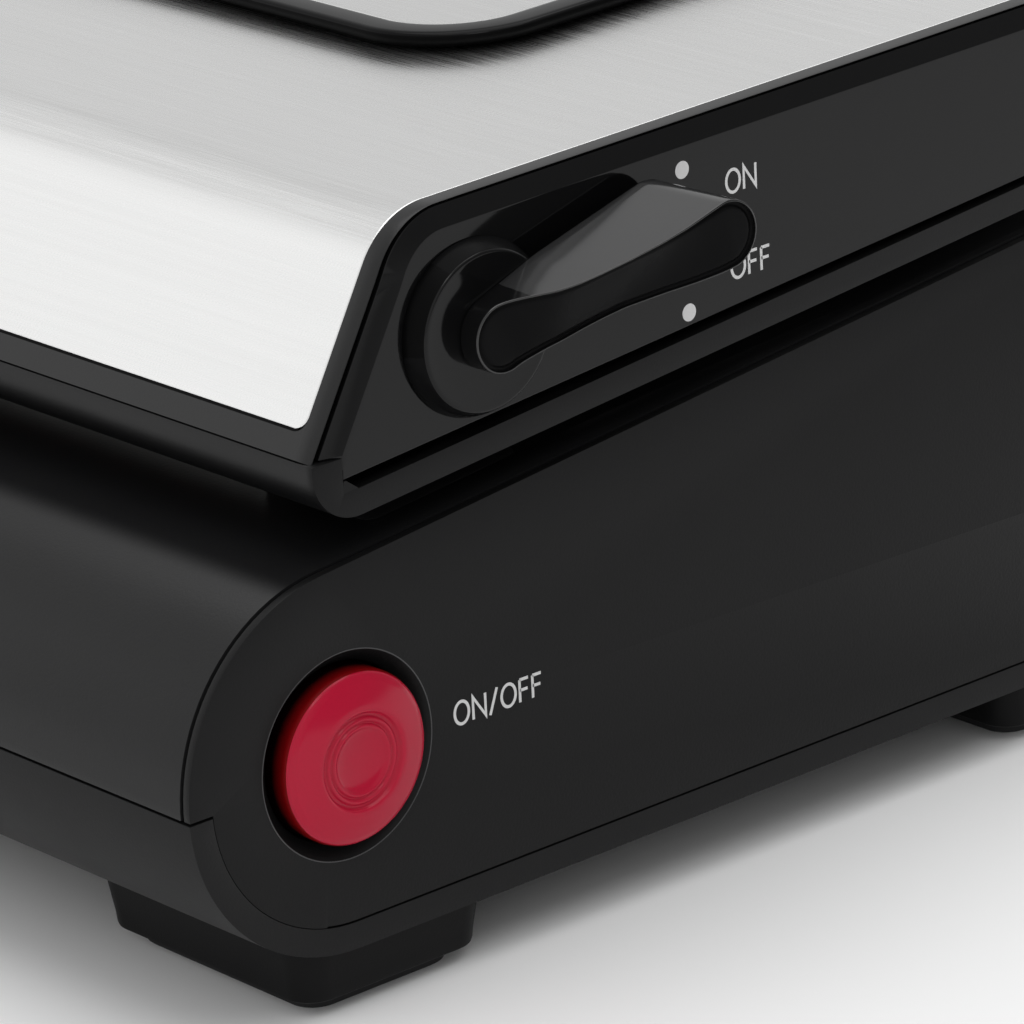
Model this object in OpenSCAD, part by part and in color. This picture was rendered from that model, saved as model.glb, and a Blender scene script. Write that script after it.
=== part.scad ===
// Countertop vacuum sealer with a hinged lid, a lid-mounted kitchen scale and
// a rotary latch lever.  Millimetres, +Z up, front towards -Y.  The origin is
// under the middle of the overall envelope, on the surface it stands on.

/* [Body] */
// Width of the housings from end cap to end cap
body_w = 400; // [360:5:440]
// How far the latch lever stands out of the right end
lever_out = 17.7; // [17:0.1:20]
// Foremost and rearmost point of the machine, measured from the middle
half_depth = 93; // [92:0.5:96]
// Wall thickness of the moulded shells
wall = 2.5; // [2:0.1:2.8]

/* [Base] */
// Height of the underside of the base above the table
base_z = 9.3; // [9:0.1:10]
// Radius of the rounded nose of the base
nose_r = 26; // [25.6:0.1:26.4]
// Slope of the base deck, degrees
deck_a = 6.1; // [5.8:0.1:6.3]
// Height of the parting line between lower and upper housing
part_z = 34.3; // [33:0.1:35]
// Width of the rim that frames the end cap
cap_rim = 3.7; // [3.4:0.1:4]
// Thickness of the rubber foot pads
pad_h = 2.2; // [2:0.1:2.4]

/* [Lid] */
// Height of the lid's front parting line
lid_part_z = 75.6; // [75.4:0.1:75.9]
// Steepness of the sloping lid front, degrees
front_a = 60.5; // [60:0.1:61]
// Bend radius between the lid front and top
bend_r = 12; // [10:0.5:13]
// Height of the shadow slot at the lid ends
slot_h = 1.9; // [1.6:0.1:2.1]
// Thickness of the brushed steel sheet
steel_t = 1; // [0.8:0.1:1.2]
// Width of the lid frame strip beside the steel sheet
strip_w = 3.5; // [3.2:0.1:4]

/* [Start button] */
// Diameter of the recess around the button
ring_d = 28; // [27:0.1:29]
// Diameter of the button cap
button_d = 23.4; // [23:0.1:23.8]
// Travel of the button
button_travel = 2; // [1.5:0.1:2.2]

/* [Scale platform] */
// Width of the platform
plat_w = 180; // [150:1:190]
// Depth of the platform
plat_d = 86; // [80:1:86]
// Corner radius of the platform
plat_r = 17; // [12:0.5:18]

/* [Vacuum chamber] */
// Width of the chamber trough
trough_w = 332; // [300:1:334]
// Depth of the trough from front to rear
trough_d = 30; // [26:1:30]
// Height of the trough floor
trough_z = 50; // [49:0.5:52]
// Radius of the accessory hose port bore
port_r = 3; // [2.5:0.1:3.2]

/* [Hidden] */

XR = (body_w - lever_out) / 2;      // outer plane of the right end
XL = XR - body_w;                   // outer plane of the left end
XC = (XR + XL) / 2;                 // middle of the housings

NC = [-half_depth + nose_r, base_z + nose_r];   // centre of the base nose
BTN = [NC[0], 36];                  // axis of the start button (y, z)
LB = 5.5;                           // slope of the lid underside
HUB = [-42.6, 87.2];                // latch shaft axis (y, z)
AX = [80, 94.25];                   // lid hinge axis (y, z)
TS = 1.645;                         // slope of the lid top
LN = [-63.1, 74.3];                 // centre of the lid's lower nose
P0 = [-70.1, lid_part_z];           // front edge of the lid at its parting line
CR = [81, 96.2];                    // centre of the lid's top rear corner
HX = [XC - 150, XC + 150];          // hinge positions
KX = [XL + 12.75, XR - 12.75];      // latch hook positions
TX = [XC - trough_w / 2, XC + trough_w / 2];
TY = [-11 - trough_d, -11];
SB = -52.1;                         // middle of the sealing bar
REAR_FOOT = 69;                     // middle of the rear feet
plat_x1 = 147.5;                    // right edge of the platform
plat_y0 = -8.3;                     // front edge of the platform
PLX = plat_x1 - plat_w / 2;         // middle of the platform
PLY = plat_y0 + plat_d / 2;

// ---- outline helpers -------------------------------------------------------
function arc(c, r, a0, a1, n) = [for (i = [0:n]) let (a = a0 + (a1 - a0) * i / n)
  [c[0] + r * cos(a), c[1] + r * sin(a)]];
// height of the base deck and of the lid's underside and top at depth y
function deck(y) = NC[1] + (nose_r + sin(deck_a) * (y - NC[0])) / cos(deck_a);
function lbot(y) = LN[1] - (7 - sin(LB) * (y - LN[0])) / cos(LB);
function ltop(y) = CR[1] + (12 + sin(TS) * (y - CR[0])) / cos(TS);
// rear top corner of the base, radius 6
C2 = [half_depth - 6, NC[1] + (nose_r - 6 + sin(deck_a) * (half_depth - 6 - NC[0])) / cos(deck_a)];
// bend of the lid, tangent to the sloping front and to the top
BU = let (n = [sin(front_a), -cos(front_a)], t = tan(TS), k = ltop(0) - bend_r / cos(TS))
  let (y = (bend_r + n[0] * P0[0] + n[1] * P0[1] - n[1] * k) / (n[0] + n[1] * t)) [y, k + t * y];
// outlines of base and lid, moved inwards by d
function base_pts(d) = concat(arc(NC, nose_r - d, 270, 90 + deck_a, 44),
  arc(C2, 6 - d, 90 + deck_a, 0, 10), arc([half_depth - 8, base_z + 8], 8 - d, 0, -90, 10));
function lid_pts(d) = concat(arc(LN, 7 - d, 270 + LB, 180, 14),
  [[P0[0] + d, P0[1] - d * (cos(front_a) - (1 - sin(front_a)) * tan(front_a))]],
  arc(BU, bend_r - d, 90 + front_a, 90 + TS, 16), arc(CR, 12 - d, 90 + TS, 0, 16),
  arc(AX, 13 - d, 0, -90 + LB, 16));

module base2(d = 0) { polygon(base_pts(d)); }
module lid2(d = 0) { polygon(lid_pts(d)); }
// extrude an outline drawn in (y, z) from x0 to x1
module px(x0, x1) { translate([x0, 0, 0]) rotate([90, 0, 90]) linear_extrude(height = x1 - x0) children(); }
module above(z) { translate([-200, z]) square([400, 200]); }
module below(z) { translate([-200, z - 200]) square([400, 200]); }
// half planes bounded by lines parallel to the lid underside, h above it
module over_lid(h) { polygon([[-200, lbot(-200) + h], [200, lbot(200) + h], [200, 300], [-200, 300]]); }
module under_lid(h) { polygon([[-200, lbot(-200) + h], [200, lbot(200) + h], [200, -100], [-200, -100]]); }
module on_deck(x, y) { translate([x, y, deck(y)]) rotate([deck_a, 0, 0]) children(); }
module under_skin(x, y) { translate([x, y, lbot(y)]) rotate([LB, 0, 0]) children(); }
module on_top(x, y) { translate([x, y, ltop(y)]) rotate([TS, 0, 0]) children(); }
module cyl_x(x0, x1, c, r, fn = 64) { translate([x0, c[0], c[1]]) rotate([0, 90, 0]) cylinder(r = r, h = x1 - x0, $fn = fn); }
module slab(w, d, h) { translate([-w / 2, -d / 2, 0]) cube([w, d, h]); }
// flat plate with rounded corners
module rslab(w, d, h, r, fn = 48) {
  union() {
    slab(w - 2 * r, d, h); slab(w, d - 2 * r, h);
    for (i = [-1, 1]) for (j = [-1, 1]) translate([i * (w / 2 - r), j * (d / 2 - r), 0]) cylinder(r = r, h = h, $fn = fn);
  }
}
module rring(w, d, h, r, t) {
  difference() { rslab(w, d, h, r); translate([0, 0, -1]) rslab(w - 2 * t, d - 2 * t, h + 2, r - t); }
}
base_posts = [[XC - 150, -56], [XC, -56], [XC + 140, -56], [XC - 176, 80], [XC, 80], [XC + 176, 80]];
lid_posts = [[XC - 180, -58.5], [XC + 180, -58.5], [XC - 60, 2], [XC - 185, 60], [XC, 66], [XC + 185, 60]];

// ---- base ------------------------------------------------------------------
// lower tub: floor, walls, screw posts and component standoffs
module base_lower_housing() {
  color([0.13, 0.13, 0.135]) union() {
    difference() {
      px(XL, XR) intersection() { base2(0); below(part_z - 0.2); }
      px(XL + 5.2, XR - 5.2) base2(wall);
      px(XR - 3.2, XR + 1) base2(cap_rim);
      px(XL - 1, XL + 3.2) base2(cap_rim);
      cyl_x(XR - 6, XR + 1, BTN, 14.6);
      cyl_x(XL - 1, XL + 6, NC, 6.1);
      for (p = base_posts) translate([p[0], p[1], 0]) cylinder(r = 3.6, h = 20, $fn = 32);
      translate([XC - 140, 86, 14.8]) cube([27, 10, 14.4]);
      translate([XC - 142.1, half_depth - 1.2, 12.7]) cube([31.2, 2, 18.6]);
      for (i = [0:11]) translate([XC + 40 + i * 8, 85, 15]) cube([4, 10, 14]);
      for (i = [0:9]) for (j = [0:1]) translate([XC - 40 + i * 8, -25 + j * 30, 8]) cube([3.5, 20, 5]);
    }
    for (p = base_posts) difference() {
      translate([p[0], p[1], base_z]) cylinder(r = 5.4, h = part_z - 0.2 - base_z, $fn = 40);
      translate([p[0], p[1], 0]) cylinder(r = 3.6, h = 18, $fn = 32);
      translate([p[0], p[1], 0]) cylinder(r = 1.7, h = 50, $fn = 32);
    }
    // standoffs for the circuit board, transformer, motor cradle and pump
    for (x = [XC - 85, XC + 15]) for (y = [18, 62]) translate([x, y, 11]) cylinder(r = 3.5, h = 5.5, $fn = 32);
    difference() {
      for (x = [XC + 88, XC + 120]) translate([x, 20, 11]) cube([4, 30, 16]);
      cyl_x(XC + 80, XC + 130, [35, 36], 17.05);
    }
  }
}
// curved front and sloping deck with the vacuum trough
module base_upper_housing() {
  color([0.13, 0.13, 0.135]) difference() {
    union() {
      difference() {
        px(XL + 1.75, XR - 1.75) intersection() { base2(0); above(part_z + 0.2); }
        px(XL, XR) base2(wall);
      }
      // locating lip that sits inside the lower tub
      difference() {
        px(XL + 6, XR - 6) union() {
          intersection() { base2(wall); above(part_z - 3.3); below(part_z + 0.2); }
          intersection() { base2(wall - 0.5); above(part_z + 0.2); below(part_z + 1.4); }
        }
        px(XL, XR) base2(wall + 1.4);
      }
      // trough box
      px(TX[0] - 2.5, TX[1] + 2.5) polygon([[TY[0] - 2.5, trough_z - 2.5], [TY[1] + 2.5, trough_z - 2.5],
        [TY[1] + 2.5, deck(TY[1] + 2.5) - 1], [TY[0] - 2.5, deck(TY[0] - 2.5) - 1]]);
      translate([TX[1] - 8, TY[1] + 2, trough_z + 4]) rotate([-90, 0, 0]) cylinder(r = 2.4, h = 8, $fn = 32);
      for (p = base_posts) translate([p[0], p[1], part_z - 0.2]) cylinder(r = 4, h = deck(p[1]) - 1.5 - part_z, $fn = 32);
    }
    translate([TX[0], TY[0], trough_z]) cube([trough_w, trough_d, 40]);
    translate([TX[1] - 8, TY[1] - 1, trough_z + 4]) rotate([-90, 0, 0]) cylinder(r = 1.4, h = 15, $fn = 32);
    for (p = base_posts) translate([p[0], p[1], 0]) cylinder(r = 1.4, h = part_z + 12, $fn = 32);
    // seat of the sealing bar
    on_deck(XC, SB) translate([-173, -4, -1.2]) cube([346, 8, 5]);
    // pockets of the striker plates, and the slots the hooks drop into
    for (x = KX) on_deck(x, HUB[0]) {
      translate([0, 0, -1]) rslab(11.2, 26.2, 4, 2.1);
      translate([-2.9, -9, -5]) cube([5.8, 18, 8]);
    }
    cyl_x(XR - 28, XR + 1, BTN, 14.6);
  }
}
// outline of the end panels: close to the rim round the nose, a wider joint along the bottom
module cap2() {
  base2(cap_rim + 0.3);
  intersection() { base2(cap_rim + 0.1); translate([-200, 0]) square([128, 200]); }
}
// right end: flush panel with the start button's conical recess and guide tube
module base_right_end_cap() {
  color([0.14, 0.14, 0.145]) difference() {
    union() {
      px(XR - 1.2, XR) intersection() { base2(0.1); above(part_z + 0.2); }
      px(XR - 3.2, XR - 1.2) cap2();
      px(XR - 3.2, XR) cap2();
      cyl_x(XR - 24, XR - 3, BTN, 14.2);
    }
    cyl_x(XR - 25, XR + 1, BTN, 12.1);
    translate([XR - 2, BTN[0], BTN[1]]) rotate([0, 90, 0]) cylinder(r1 = 12.1, r2 = ring_d / 2, h = 2.001, $fn = 96);
  }
}
// left end: the same panel with a hole for the accessory hose port
module base_left_end_cap() {
  color([0.14, 0.14, 0.145]) difference() {
    union() {
      px(XL, XL + 1.2) intersection() { base2(0.1); above(part_z + 0.2); }
      px(XL, XL + 3.2) base2(cap_rim + 0.3);
    }
    cyl_x(XL - 1, XL + 6, NC, 6.1);
  }
}
module foot_at(mx, my) {
  translate([mx > 0 ? XR - 23.3 : XL + 23.3, my > 0 ? REAR_FOOT : -59.1, 0]) children();
}
module foot_blocks() {
  color([0.08, 0.08, 0.085]) for (i = [-1, 1]) for (j = [-1, 1]) difference() {
    foot_at(i, j) hull() {
      translate([0, 0, 10.8]) rslab(44, 32.2, 0.9, 4.5, 32);
      translate([0, 0, pad_h]) rslab(42.4, 30.6, 1.2, 4.2, 32);
    }
    px(XL - 5, XR + 5) base2(0);
  }
}
module foot_pads() {
  color([0.2, 0.2, 0.2]) for (i = [-1, 1]) for (j = [-1, 1]) foot_at(i, j) rslab(36.7, 25.1, pad_h, 4);
}
module lower_gasket() {
  color([0.25, 0.25, 0.26]) on_deck(XC, (TY[0] + TY[1]) / 2) rring(trough_w + 20, trough_d + 14, 2.3, 8, 6);
}
// removable tray that catches liquid
module drip_tray() {
  color([0.3, 0.3, 0.31]) translate([XC, (TY[0] + TY[1]) / 2, trough_z]) union() {
    difference() {
      rslab(trough_w - 24, trough_d - 1, 9, 4);
      translate([0, 0, 1.2]) rslab(trough_w - 26.4, trough_d - 3.4, 9, 2.8);
    }
    translate([-150, -5, 0]) cube([1.6, 10, 11.5]);
    translate([148.4, -5, 0]) cube([1.6, 10, 11.5]);
  }
}
module seal_bar() {
  color([0.75, 0.72, 0.66]) on_deck(XC, SB) difference() {
    translate([-172.5, -3.7, -1.2]) cube([345, 7.4, 2.7]);
    translate([-171, -1.6, 1.2]) cube([342, 3.2, 1]);
  }
}
module heating_wire() {
  color([0.72, 0.68, 0.6]) on_deck(XC, SB) translate([-170, -1.3, 1.2]) cube([340, 2.6, 0.3]);
}
module release_tape() {
  color([0.5, 0.38, 0.24]) on_deck(XC, SB) translate([-171.5, -3.6, 1.5]) cube([343, 7.2, 0.2]);
}
// diaphragm pump: cylinder head, body, nozzle and foot
module vacuum_pump() {
  color([0.35, 0.36, 0.38]) difference() {
    union() {
      translate([XC + 136, 17, 11.8]) cube([24, 36, 6]);
      translate([XC + 138, 20, 17]) cube([20, 30, 26]);
      translate([XC + 138, 16, 43]) cube([22, 38, 3]);
      translate([XC + 148, 35, 46]) cylinder(r = 13, h = 8, $fn = 64);
      translate([XC + 158, 24, trough_z + 4]) cylinder(r = 4, h = 5, $fn = 32, center = true);
      translate([TX[1] - 8, 26, trough_z + 4]) rotate([90, 0, 0]) cylinder(r = 2.4, h = 22, $fn = 32);
      translate([XC + 138, 35, 36]) rotate([0, -90, 0]) cylinder(r = 5, h = 1.5, $fn = 40);
    }
    translate([TX[1] - 8, 22, trough_z + 4]) rotate([90, 0, 0]) cylinder(r = 1.4, h = 30, $fn = 32);
  }
}
module pump_motor() {
  color([0.62, 0.62, 0.64]) union() {
    cyl_x(XC + 75, XC + 126, [35, 36], 17);
    cyl_x(XC + 126, XC + 128, [35, 36], 6, 48);
    cyl_x(XC + 72, XC + 75, [35, 36], 5, 40);
    cyl_x(XC + 128, XC + 134.4, [35, 36], 1.6, 32);
  }
}
// eccentric on the motor shaft that drives the diaphragm
module pump_crank() {
  color([0.85, 0.85, 0.8]) difference() {
    union() {
      cyl_x(XC + 128.5, XC + 132.5, [35, 36], 9);
      cyl_x(XC + 132.5, XC + 135.5, [39.5, 36], 2.2, 32);
    }
    cyl_x(XC + 128, XC + 140, [35, 36], 1.66, 32);
  }
}
module vacuum_hose() {
  color([0.7, 0.7, 0.68]) translate([TX[1] - 8, TY[1] + 18.1, trough_z + 4]) rotate([90, 0, 0]) difference() {
    translate([0, 0, -3]) cylinder(r = 4, h = 18.5, $fn = 40);
    translate([0, 0, -5]) cylinder(r = 2.4, h = 30, $fn = 32);
  }
}
module transformer() {
  color([0.3, 0.3, 0.32]) union() {
    translate([XC - 175, 0, 11.8]) cube([62, 40, 2]);
    difference() {
      translate([XC - 168, 4, 13.8]) cube([48, 32, 40]);
      for (s = [0, 1]) translate([XC - 160 + s * 20, 3, 21.8]) cube([12, 34, 24]);
    }
    translate([XC - 159.8, -3, 22]) cube([31.6, 46, 23.6]);
  }
}
module main_circuit_board() {
  color([0.1, 0.35, 0.18]) union() {
    translate([XC - 90, 12, 16.5]) cube([110, 56, 1.6]);
    translate([XC - 80, 18, 18]) cube([22, 16, 14]);
    translate([XC - 50, 20, 18]) cube([14, 22, 10]);
    for (i = [0:3]) translate([XC - 25 + i * 11, 26, 18]) cylinder(r = 4, h = 12, $fn = 40);
    translate([XC - 20, 46, 18]) cube([26, 14, 3]);
    translate([XC - 84, 58, 18]) cube([40, 7, 8]);
  }
}
// two-pin mains inlet in the rear wall
module power_inlet() {
  color([0.06, 0.06, 0.065]) union() {
    difference() {
      union() {
        translate([XC - 142, half_depth - 1.2, 12.8]) cube([31, 1.2, 18.4]);
        translate([XC - 139.8, half_depth - 20, 15]) cube([26.6, 19, 14]);
      }
      translate([XC - 137.5, half_depth - 16, 17.5]) cube([22, 20, 9]);
    }
    for (s = [-1, 1]) translate([XC - 126.5 + s * 5, half_depth - 16.5, 22]) rotate([-90, 0, 0]) cylinder(r = 1.3, h = 12, $fn = 32);
  }
}
// barbed port for canisters and marinating bowls
module accessory_hose_port() {
  color([0.16, 0.16, 0.165]) difference() {
    union() {
      cyl_x(XL + 0.0, XL + 12, NC, 6);
      cyl_x(XL + 5.2, XL + 7.2, NC, 9);
      translate([XL + 12, NC[0], NC[1]]) rotate([0, 90, 0]) cylinder(r1 = 4.4, r2 = 3.8, h = 9, $fn = 48);
    }
    cyl_x(XL - 1, XL + 12, NC, port_r, 48);
    cyl_x(XL + 11, XL + 30, NC, 2.2, 40);
  }
}
// striker plates for the latch hooks
module latch_keepers() {
  color([0.2, 0.2, 0.21]) for (x = KX) on_deck(x, HUB[0]) translate([0, 0, -1]) difference() {
    rslab(11, 26, 1, 2);
    translate([-2.9, -9, -1]) cube([5.8, 18, 3]);
  }
}
module hinge_brackets() {
  color([0.55, 0.56, 0.57]) for (x = HX) difference() {
    union() {
      on_deck(x, 80) translate([0, -1, -0.1]) rslab(30, 16, 2.1, 2);
      translate([x - 5, AX[0] - 6, deck(80)]) cube([10, 12, AX[1] - deck(80)]);
      cyl_x(x - 5, x + 5, AX, 6, 64);
    }
    px(x - 20, x + 20) base2(0);
    cyl_x(x - 6, x + 6, AX, 3, 48);
  }
}
module hinge_pins() { color([0.75, 0.76, 0.77]) for (x = HX) cyl_x(x - 13.5, x + 13.5, AX, 3, 48); }

// red push cap with turned rings, guide skirt and stem
module start_button() {
  r = button_d / 2;
  color([0.72, 0.05, 0.13]) translate([XR, BTN[0], BTN[1]]) rotate([0, 90, 0]) rotate_extrude($fn = 120)
    polygon(concat([[0, -17.7], [3, -17.7], [3, -6.5], [r - 1.6, -6.5], [r - 1.6, -9], [r, -9]],
      arc([r - 0.7, 1.25], 0.7, 0, 68, 6), [for (q = [10.6, 9.6, 8.6, 7.6, 6.8]) [q, 4.04 - q * q / 59.2]],
      [[6.5, 3.15], [6.3, 2.8], [5.95, 2.75], [5.7, 2.95], [5.3, 2.95], [5.05, 2.75], [4.8, 2.9], [4.4, 2.9], [4, 2.6]],
      [[2.5, 2.2], [0, 2.05]]));
}
// coil spring around the button stem
spring_n = 5; spring_seg = 20; spring_sides = 6;
module button_spring() {
  x0 = XR - 19.6; h = 12.6; rr = 4.6; w = 0.4; n = spring_n * spring_seg;
  pts = [for (i = [0:n]) for (j = [0:spring_sides - 1]) let (a = 360 * i / spring_seg, b = 360 * j / spring_sides, q = rr + w * cos(b))
    [x0 + w + (h - 2 * w) * i / n + w * sin(b), BTN[0] + q * cos(a), BTN[1] + q * sin(a)]];
  m = spring_sides;
  faces = concat([[for (j = [0:m - 1]) j]],
    [for (i = [0:n - 1]) for (j = [0:m - 1]) [i * m + j, (i + 1) * m + j, (i + 1) * m + (j + 1) % m]],
    [for (i = [0:n - 1]) for (j = [0:m - 1]) [i * m + j, (i + 1) * m + (j + 1) % m, i * m + (j + 1) % m]],
    [[for (j = [m - 1:-1:0]) n * m + j]]);
  color([0.8, 0.8, 0.8]) polyhedron(points = pts, faces = faces, convexity = 10);
}
module start_switch() {
  color([0.2, 0.3, 0.22]) union() {
    cyl_x(XR - 26, XR - 24, BTN, 14.2);
    translate([XR - 24.2, BTN[0] - 4, BTN[1] - 4]) cube([4.2, 8, 8]);
    cyl_x(XR - 24, XR - 19.8, BTN, 5.6, 48);
    translate([XR - 30, BTN[0] - 8, BTN[1] - 5]) cube([4.2, 16, 4]);
  }
}
module base_screws() {
  color([0.6, 0.6, 0.62]) for (p = base_posts) translate([p[0], p[1], 0]) union() {
    difference() {
      translate([0, 0, 15.2]) cylinder(r = 3, h = 2.8, $fn = 32);
      for (a = [0, 90]) rotate([0, 0, a]) translate([-2, -0.45, 14.5]) cube([4, 0.9, 2]);
    }
    translate([0, 0, 17.9]) cylinder(r = 1.4, h = 26, $fn = 32);
  }
}

// ---- lid -------------------------------------------------------------------
module hinge_notch() { for (x = HX) translate([x - 6.5, 71, 60]) cube([13, 30, 39]); }
// outline of what lies below the lid's parting line, s above the underside
module lid_low2(s, z) {
  union() {
    intersection() { under_lid(s); translate([-65.2, 0]) square([300, 300]); }
    translate([-200, 0]) square([134.8, z]);
  }
}
module lid_lower_frame() {
  color([0.12, 0.12, 0.125]) difference() {
    union() {
      difference() {
        px(XL, XR) intersection() { lid2(0); lid_low2(3.6, lid_part_z - 0.12); }
        px(XL + 2.2, XR - 2.2) intersection() { lid2(2.2); over_lid(2.4); }
      }
      // rear wall carried up to the cover, and the hinge lugs
      px(XL + 5.5, XR - 5.5) intersection() {
        difference() { lid2(2.2); lid2(3.8); }
        over_lid(2.4); under_lid(9); translate([60, 0]) square([100, 300]);
      }
      for (x = HX) for (s = [-1, 1]) difference() {
        union() {
          cyl_x(x + s * 10 - 3, x + s * 10 + 3, AX, 8, 64);
          translate([x + s * 10 - 3, AX[0] - 8, lbot(AX[0]) + 1.8]) cube([6, 16, AX[1] - lbot(AX[0]) - 1.8]);
        }
      }
      for (p = lid_posts) translate([p[0], p[1], lbot(p[1]) + 1]) cylinder(r = 4, h = 14, $fn = 40);
      // post under the load cell
      translate([PLX - 42, PLY - 8, lbot(PLY - 8) + 1]) cube([22, 16, 90 - lbot(PLY - 8) - 1]);
    }
    for (x = HX) cyl_x(x - 15, x + 15, AX, 3.05, 48);
    for (p = lid_posts) translate([p[0], p[1], lbot(p[1]) - 3]) cylinder(r = 3.1, h = 13, $fn = 32);
    for (p = lid_posts) translate([p[0], p[1], lbot(p[1]) - 3]) cylinder(r = 1.7, h = 40, $fn = 32);
    for (x = KX) translate([x - 4, HUB[0] - 11, 60]) cube([8, 22, 16]);
    hinge_notch();
    // seat of the sealing strip
    under_skin(XC, SB) translate([-173, -3.8, -1]) cube([346, 7.6, 2]);
  }
}
module plate2(d0, d1) { difference() { lid2(d0); lid2(d1); } }
module steel_zone() { polygon([[-80, lid_part_z + 3.1], [-50, lid_part_z + 3.1], [-50, 92], [84.5, 92], [84.5, 140], [-80, 140]]); }
module top_cuts(g) {
  on_top(PLX - 30, PLY) translate([0, 0, -12]) cylinder(r = 6 + g, h = 14, $fn = 48);
  on_top(-128, -22) translate([0, 0, -12]) rslab(58 + 2 * g, 20 + 2 * g, 14, 2 + g);
  for (k = [0:2]) on_top(-152 + 24 * k, 12) translate([0, 0, -12]) cylinder(r = 5.3 + g, h = 14, $fn = 48);
}
module lid_cover_frame() {
  color([0.11, 0.11, 0.115]) difference() {
    union() {
      difference() {
        px(XL + 0.8, XR - 0.8) difference() { lid2(0); lid_low2(5.5, lid_part_z + 0.12); }
        px(XL + 0, XR - 0) lid2(2.2);
      }
      for (x = [XL + 3.1, XR - 5]) px(x, x + 1.9) difference() { lid2(2); lid_low2(5.5, lid_part_z + 0.12); }
      intersection() {
        for (p = lid_posts) translate([p[0], p[1], lbot(p[1]) + 15]) cylinder(r = 3.8, h = 40, $fn = 32);
        px(XL + 2, XR - 2) lid2(1.4);
      }
    }
    px(XL + strip_w, XR - strip_w) intersection() { plate2(-1, steel_t + 0.05); steel_zone(); }
    for (x = [XL, XR - 6]) cyl_x(x, x + 6, HUB, 6);
    for (p = lid_posts) translate([p[0], p[1], lbot(p[1])]) cylinder(r = 1.4, h = p[1] < -50 ? 18 : 24, $fn = 32);
    top_cuts(0);
    hinge_notch();
  }
}
module end_panel2() { difference() { lid2(2.9); lid_low2(5.5, lid_part_z + 0.12); } }
module lid_right_end_panel() {
  color([0.09, 0.09, 0.095]) difference() { px(XR - 3, XR) end_panel2(); cyl_x(XR - 4, XR + 1, HUB, 6.2); }
}
module lid_left_end_panel() { color([0.09, 0.09, 0.095]) px(XL, XL + 3) end_panel2(); }
// brushed sheet folded over the lid front and top
module steel_top_plate() {
  color([0.8, 0.8, 0.8]) difference() {
    px(XL + strip_w + 0.1, XR - strip_w - 0.1) intersection() {
      plate2(0, steel_t);
      translate([0, 0.3]) steel_zone();
      translate([-100, 0]) square([184.3, 200]);
    }
    top_cuts(0);
  }
}
module upper_gasket() {
  color([0.25, 0.25, 0.26]) under_skin(XC, (TY[0] + TY[1]) / 2) translate([0, 0, -2.1]) rring(trough_w + 20, trough_d + 14, 2.1, 8, 6);
}
module sealing_strip() {
  color([0.55, 0.2, 0.15]) under_skin(XC, SB) translate([-172.5, -3.6, -2.2]) cube([345, 7.2, 3.2]);
}
module display_window() {
  color([0.05, 0.06, 0.07]) on_top(-128, -22) translate([0, 0, -1.9]) rslab(57.6, 19.6, 1.9, 1.8);
}
module display_board() {
  color([0.1, 0.35, 0.18]) union() {
    on_top(-128, -5) translate([0, 0, -9]) slab(96, 56, 1.6);
    on_top(-128, -22) translate([0, 0, -7.5]) slab(50, 16, 4.6);
    for (k = [0:2]) on_top(-152 + 24 * k, 12) translate([0, 0, -7.6]) slab(6, 6, 2.2);
    for (i = [-1, 1]) for (j = [-1, 1]) on_top(-128 + i * 44, -5 + j * 24) translate([0, 0, -7.5]) cylinder(r = 2.4, h = 5.25, $fn = 32);
  }
}
// bending beam with its cut-outs
module load_cell() {
  color([0.75, 0.76, 0.78]) difference() {
    translate([PLX - 42, PLY - 6, 90]) cube([84, 12, 11]);
    for (s = [-1, 1]) translate([PLX + s * 8, PLY - 10, 95.5]) rotate([-90, 0, 0]) cylinder(r = 3.6, h = 20, $fn = 48);
  }
}
module shaft_bushes() {
  color([0.86, 0.85, 0.8]) for (s = [-1, 1]) difference() {
    union() {
      cyl_x(s > 0 ? XR - 5 : XL + 3.1, s > 0 ? XR - 3.1 : XL + 5, HUB, 6);
      cyl_x(s > 0 ? XR - 7.4 : XL + 5, s > 0 ? XR - 5 : XL + 7.4, HUB, 7.5);
    }
    cyl_x(s > 0 ? XR - 10 : XL, s > 0 ? XR : XL + 10, HUB, 4.05, 48);
  }
}
module lid_screws() {
  color([0.6, 0.6, 0.62]) for (p = lid_posts) translate([p[0], p[1], lbot(p[1])]) union() {
    difference() {
      translate([0, 0, 7.4]) cylinder(r = 3, h = 2.6, $fn = 32);
      for (a = [0, 90]) rotate([0, 0, a]) translate([-2, -0.45, 6.6]) cube([4, 0.9, 2]);
    }
    translate([0, 0, 9.9]) cylinder(r = 1.4, h = p[1] < -50 ? 7.8 : 13, $fn = 32);
  }
}

// ---- latch -----------------------------------------------------------------
lev_a = 16.8;                       // lever direction above the horizontal
lev_l = 30;                         // hub to tip centre
lev_r = 4.7;                        // half width of the lever arm
TIP = [HUB[0] + lev_l * cos(lev_a), HUB[1] + lev_l * sin(lev_a)];
module lever_disc(s, x0, x1, r = lev_r, h = 0) {
  translate([XR + x0, HUB[0] + s * cos(lev_a) - h * sin(lev_a), HUB[1] + s * sin(lev_a) + h * cos(lev_a)])
    rotate([0, 90, 0]) cylinder(r = r, h = x1 - x0, $fn = 48);
}
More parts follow.
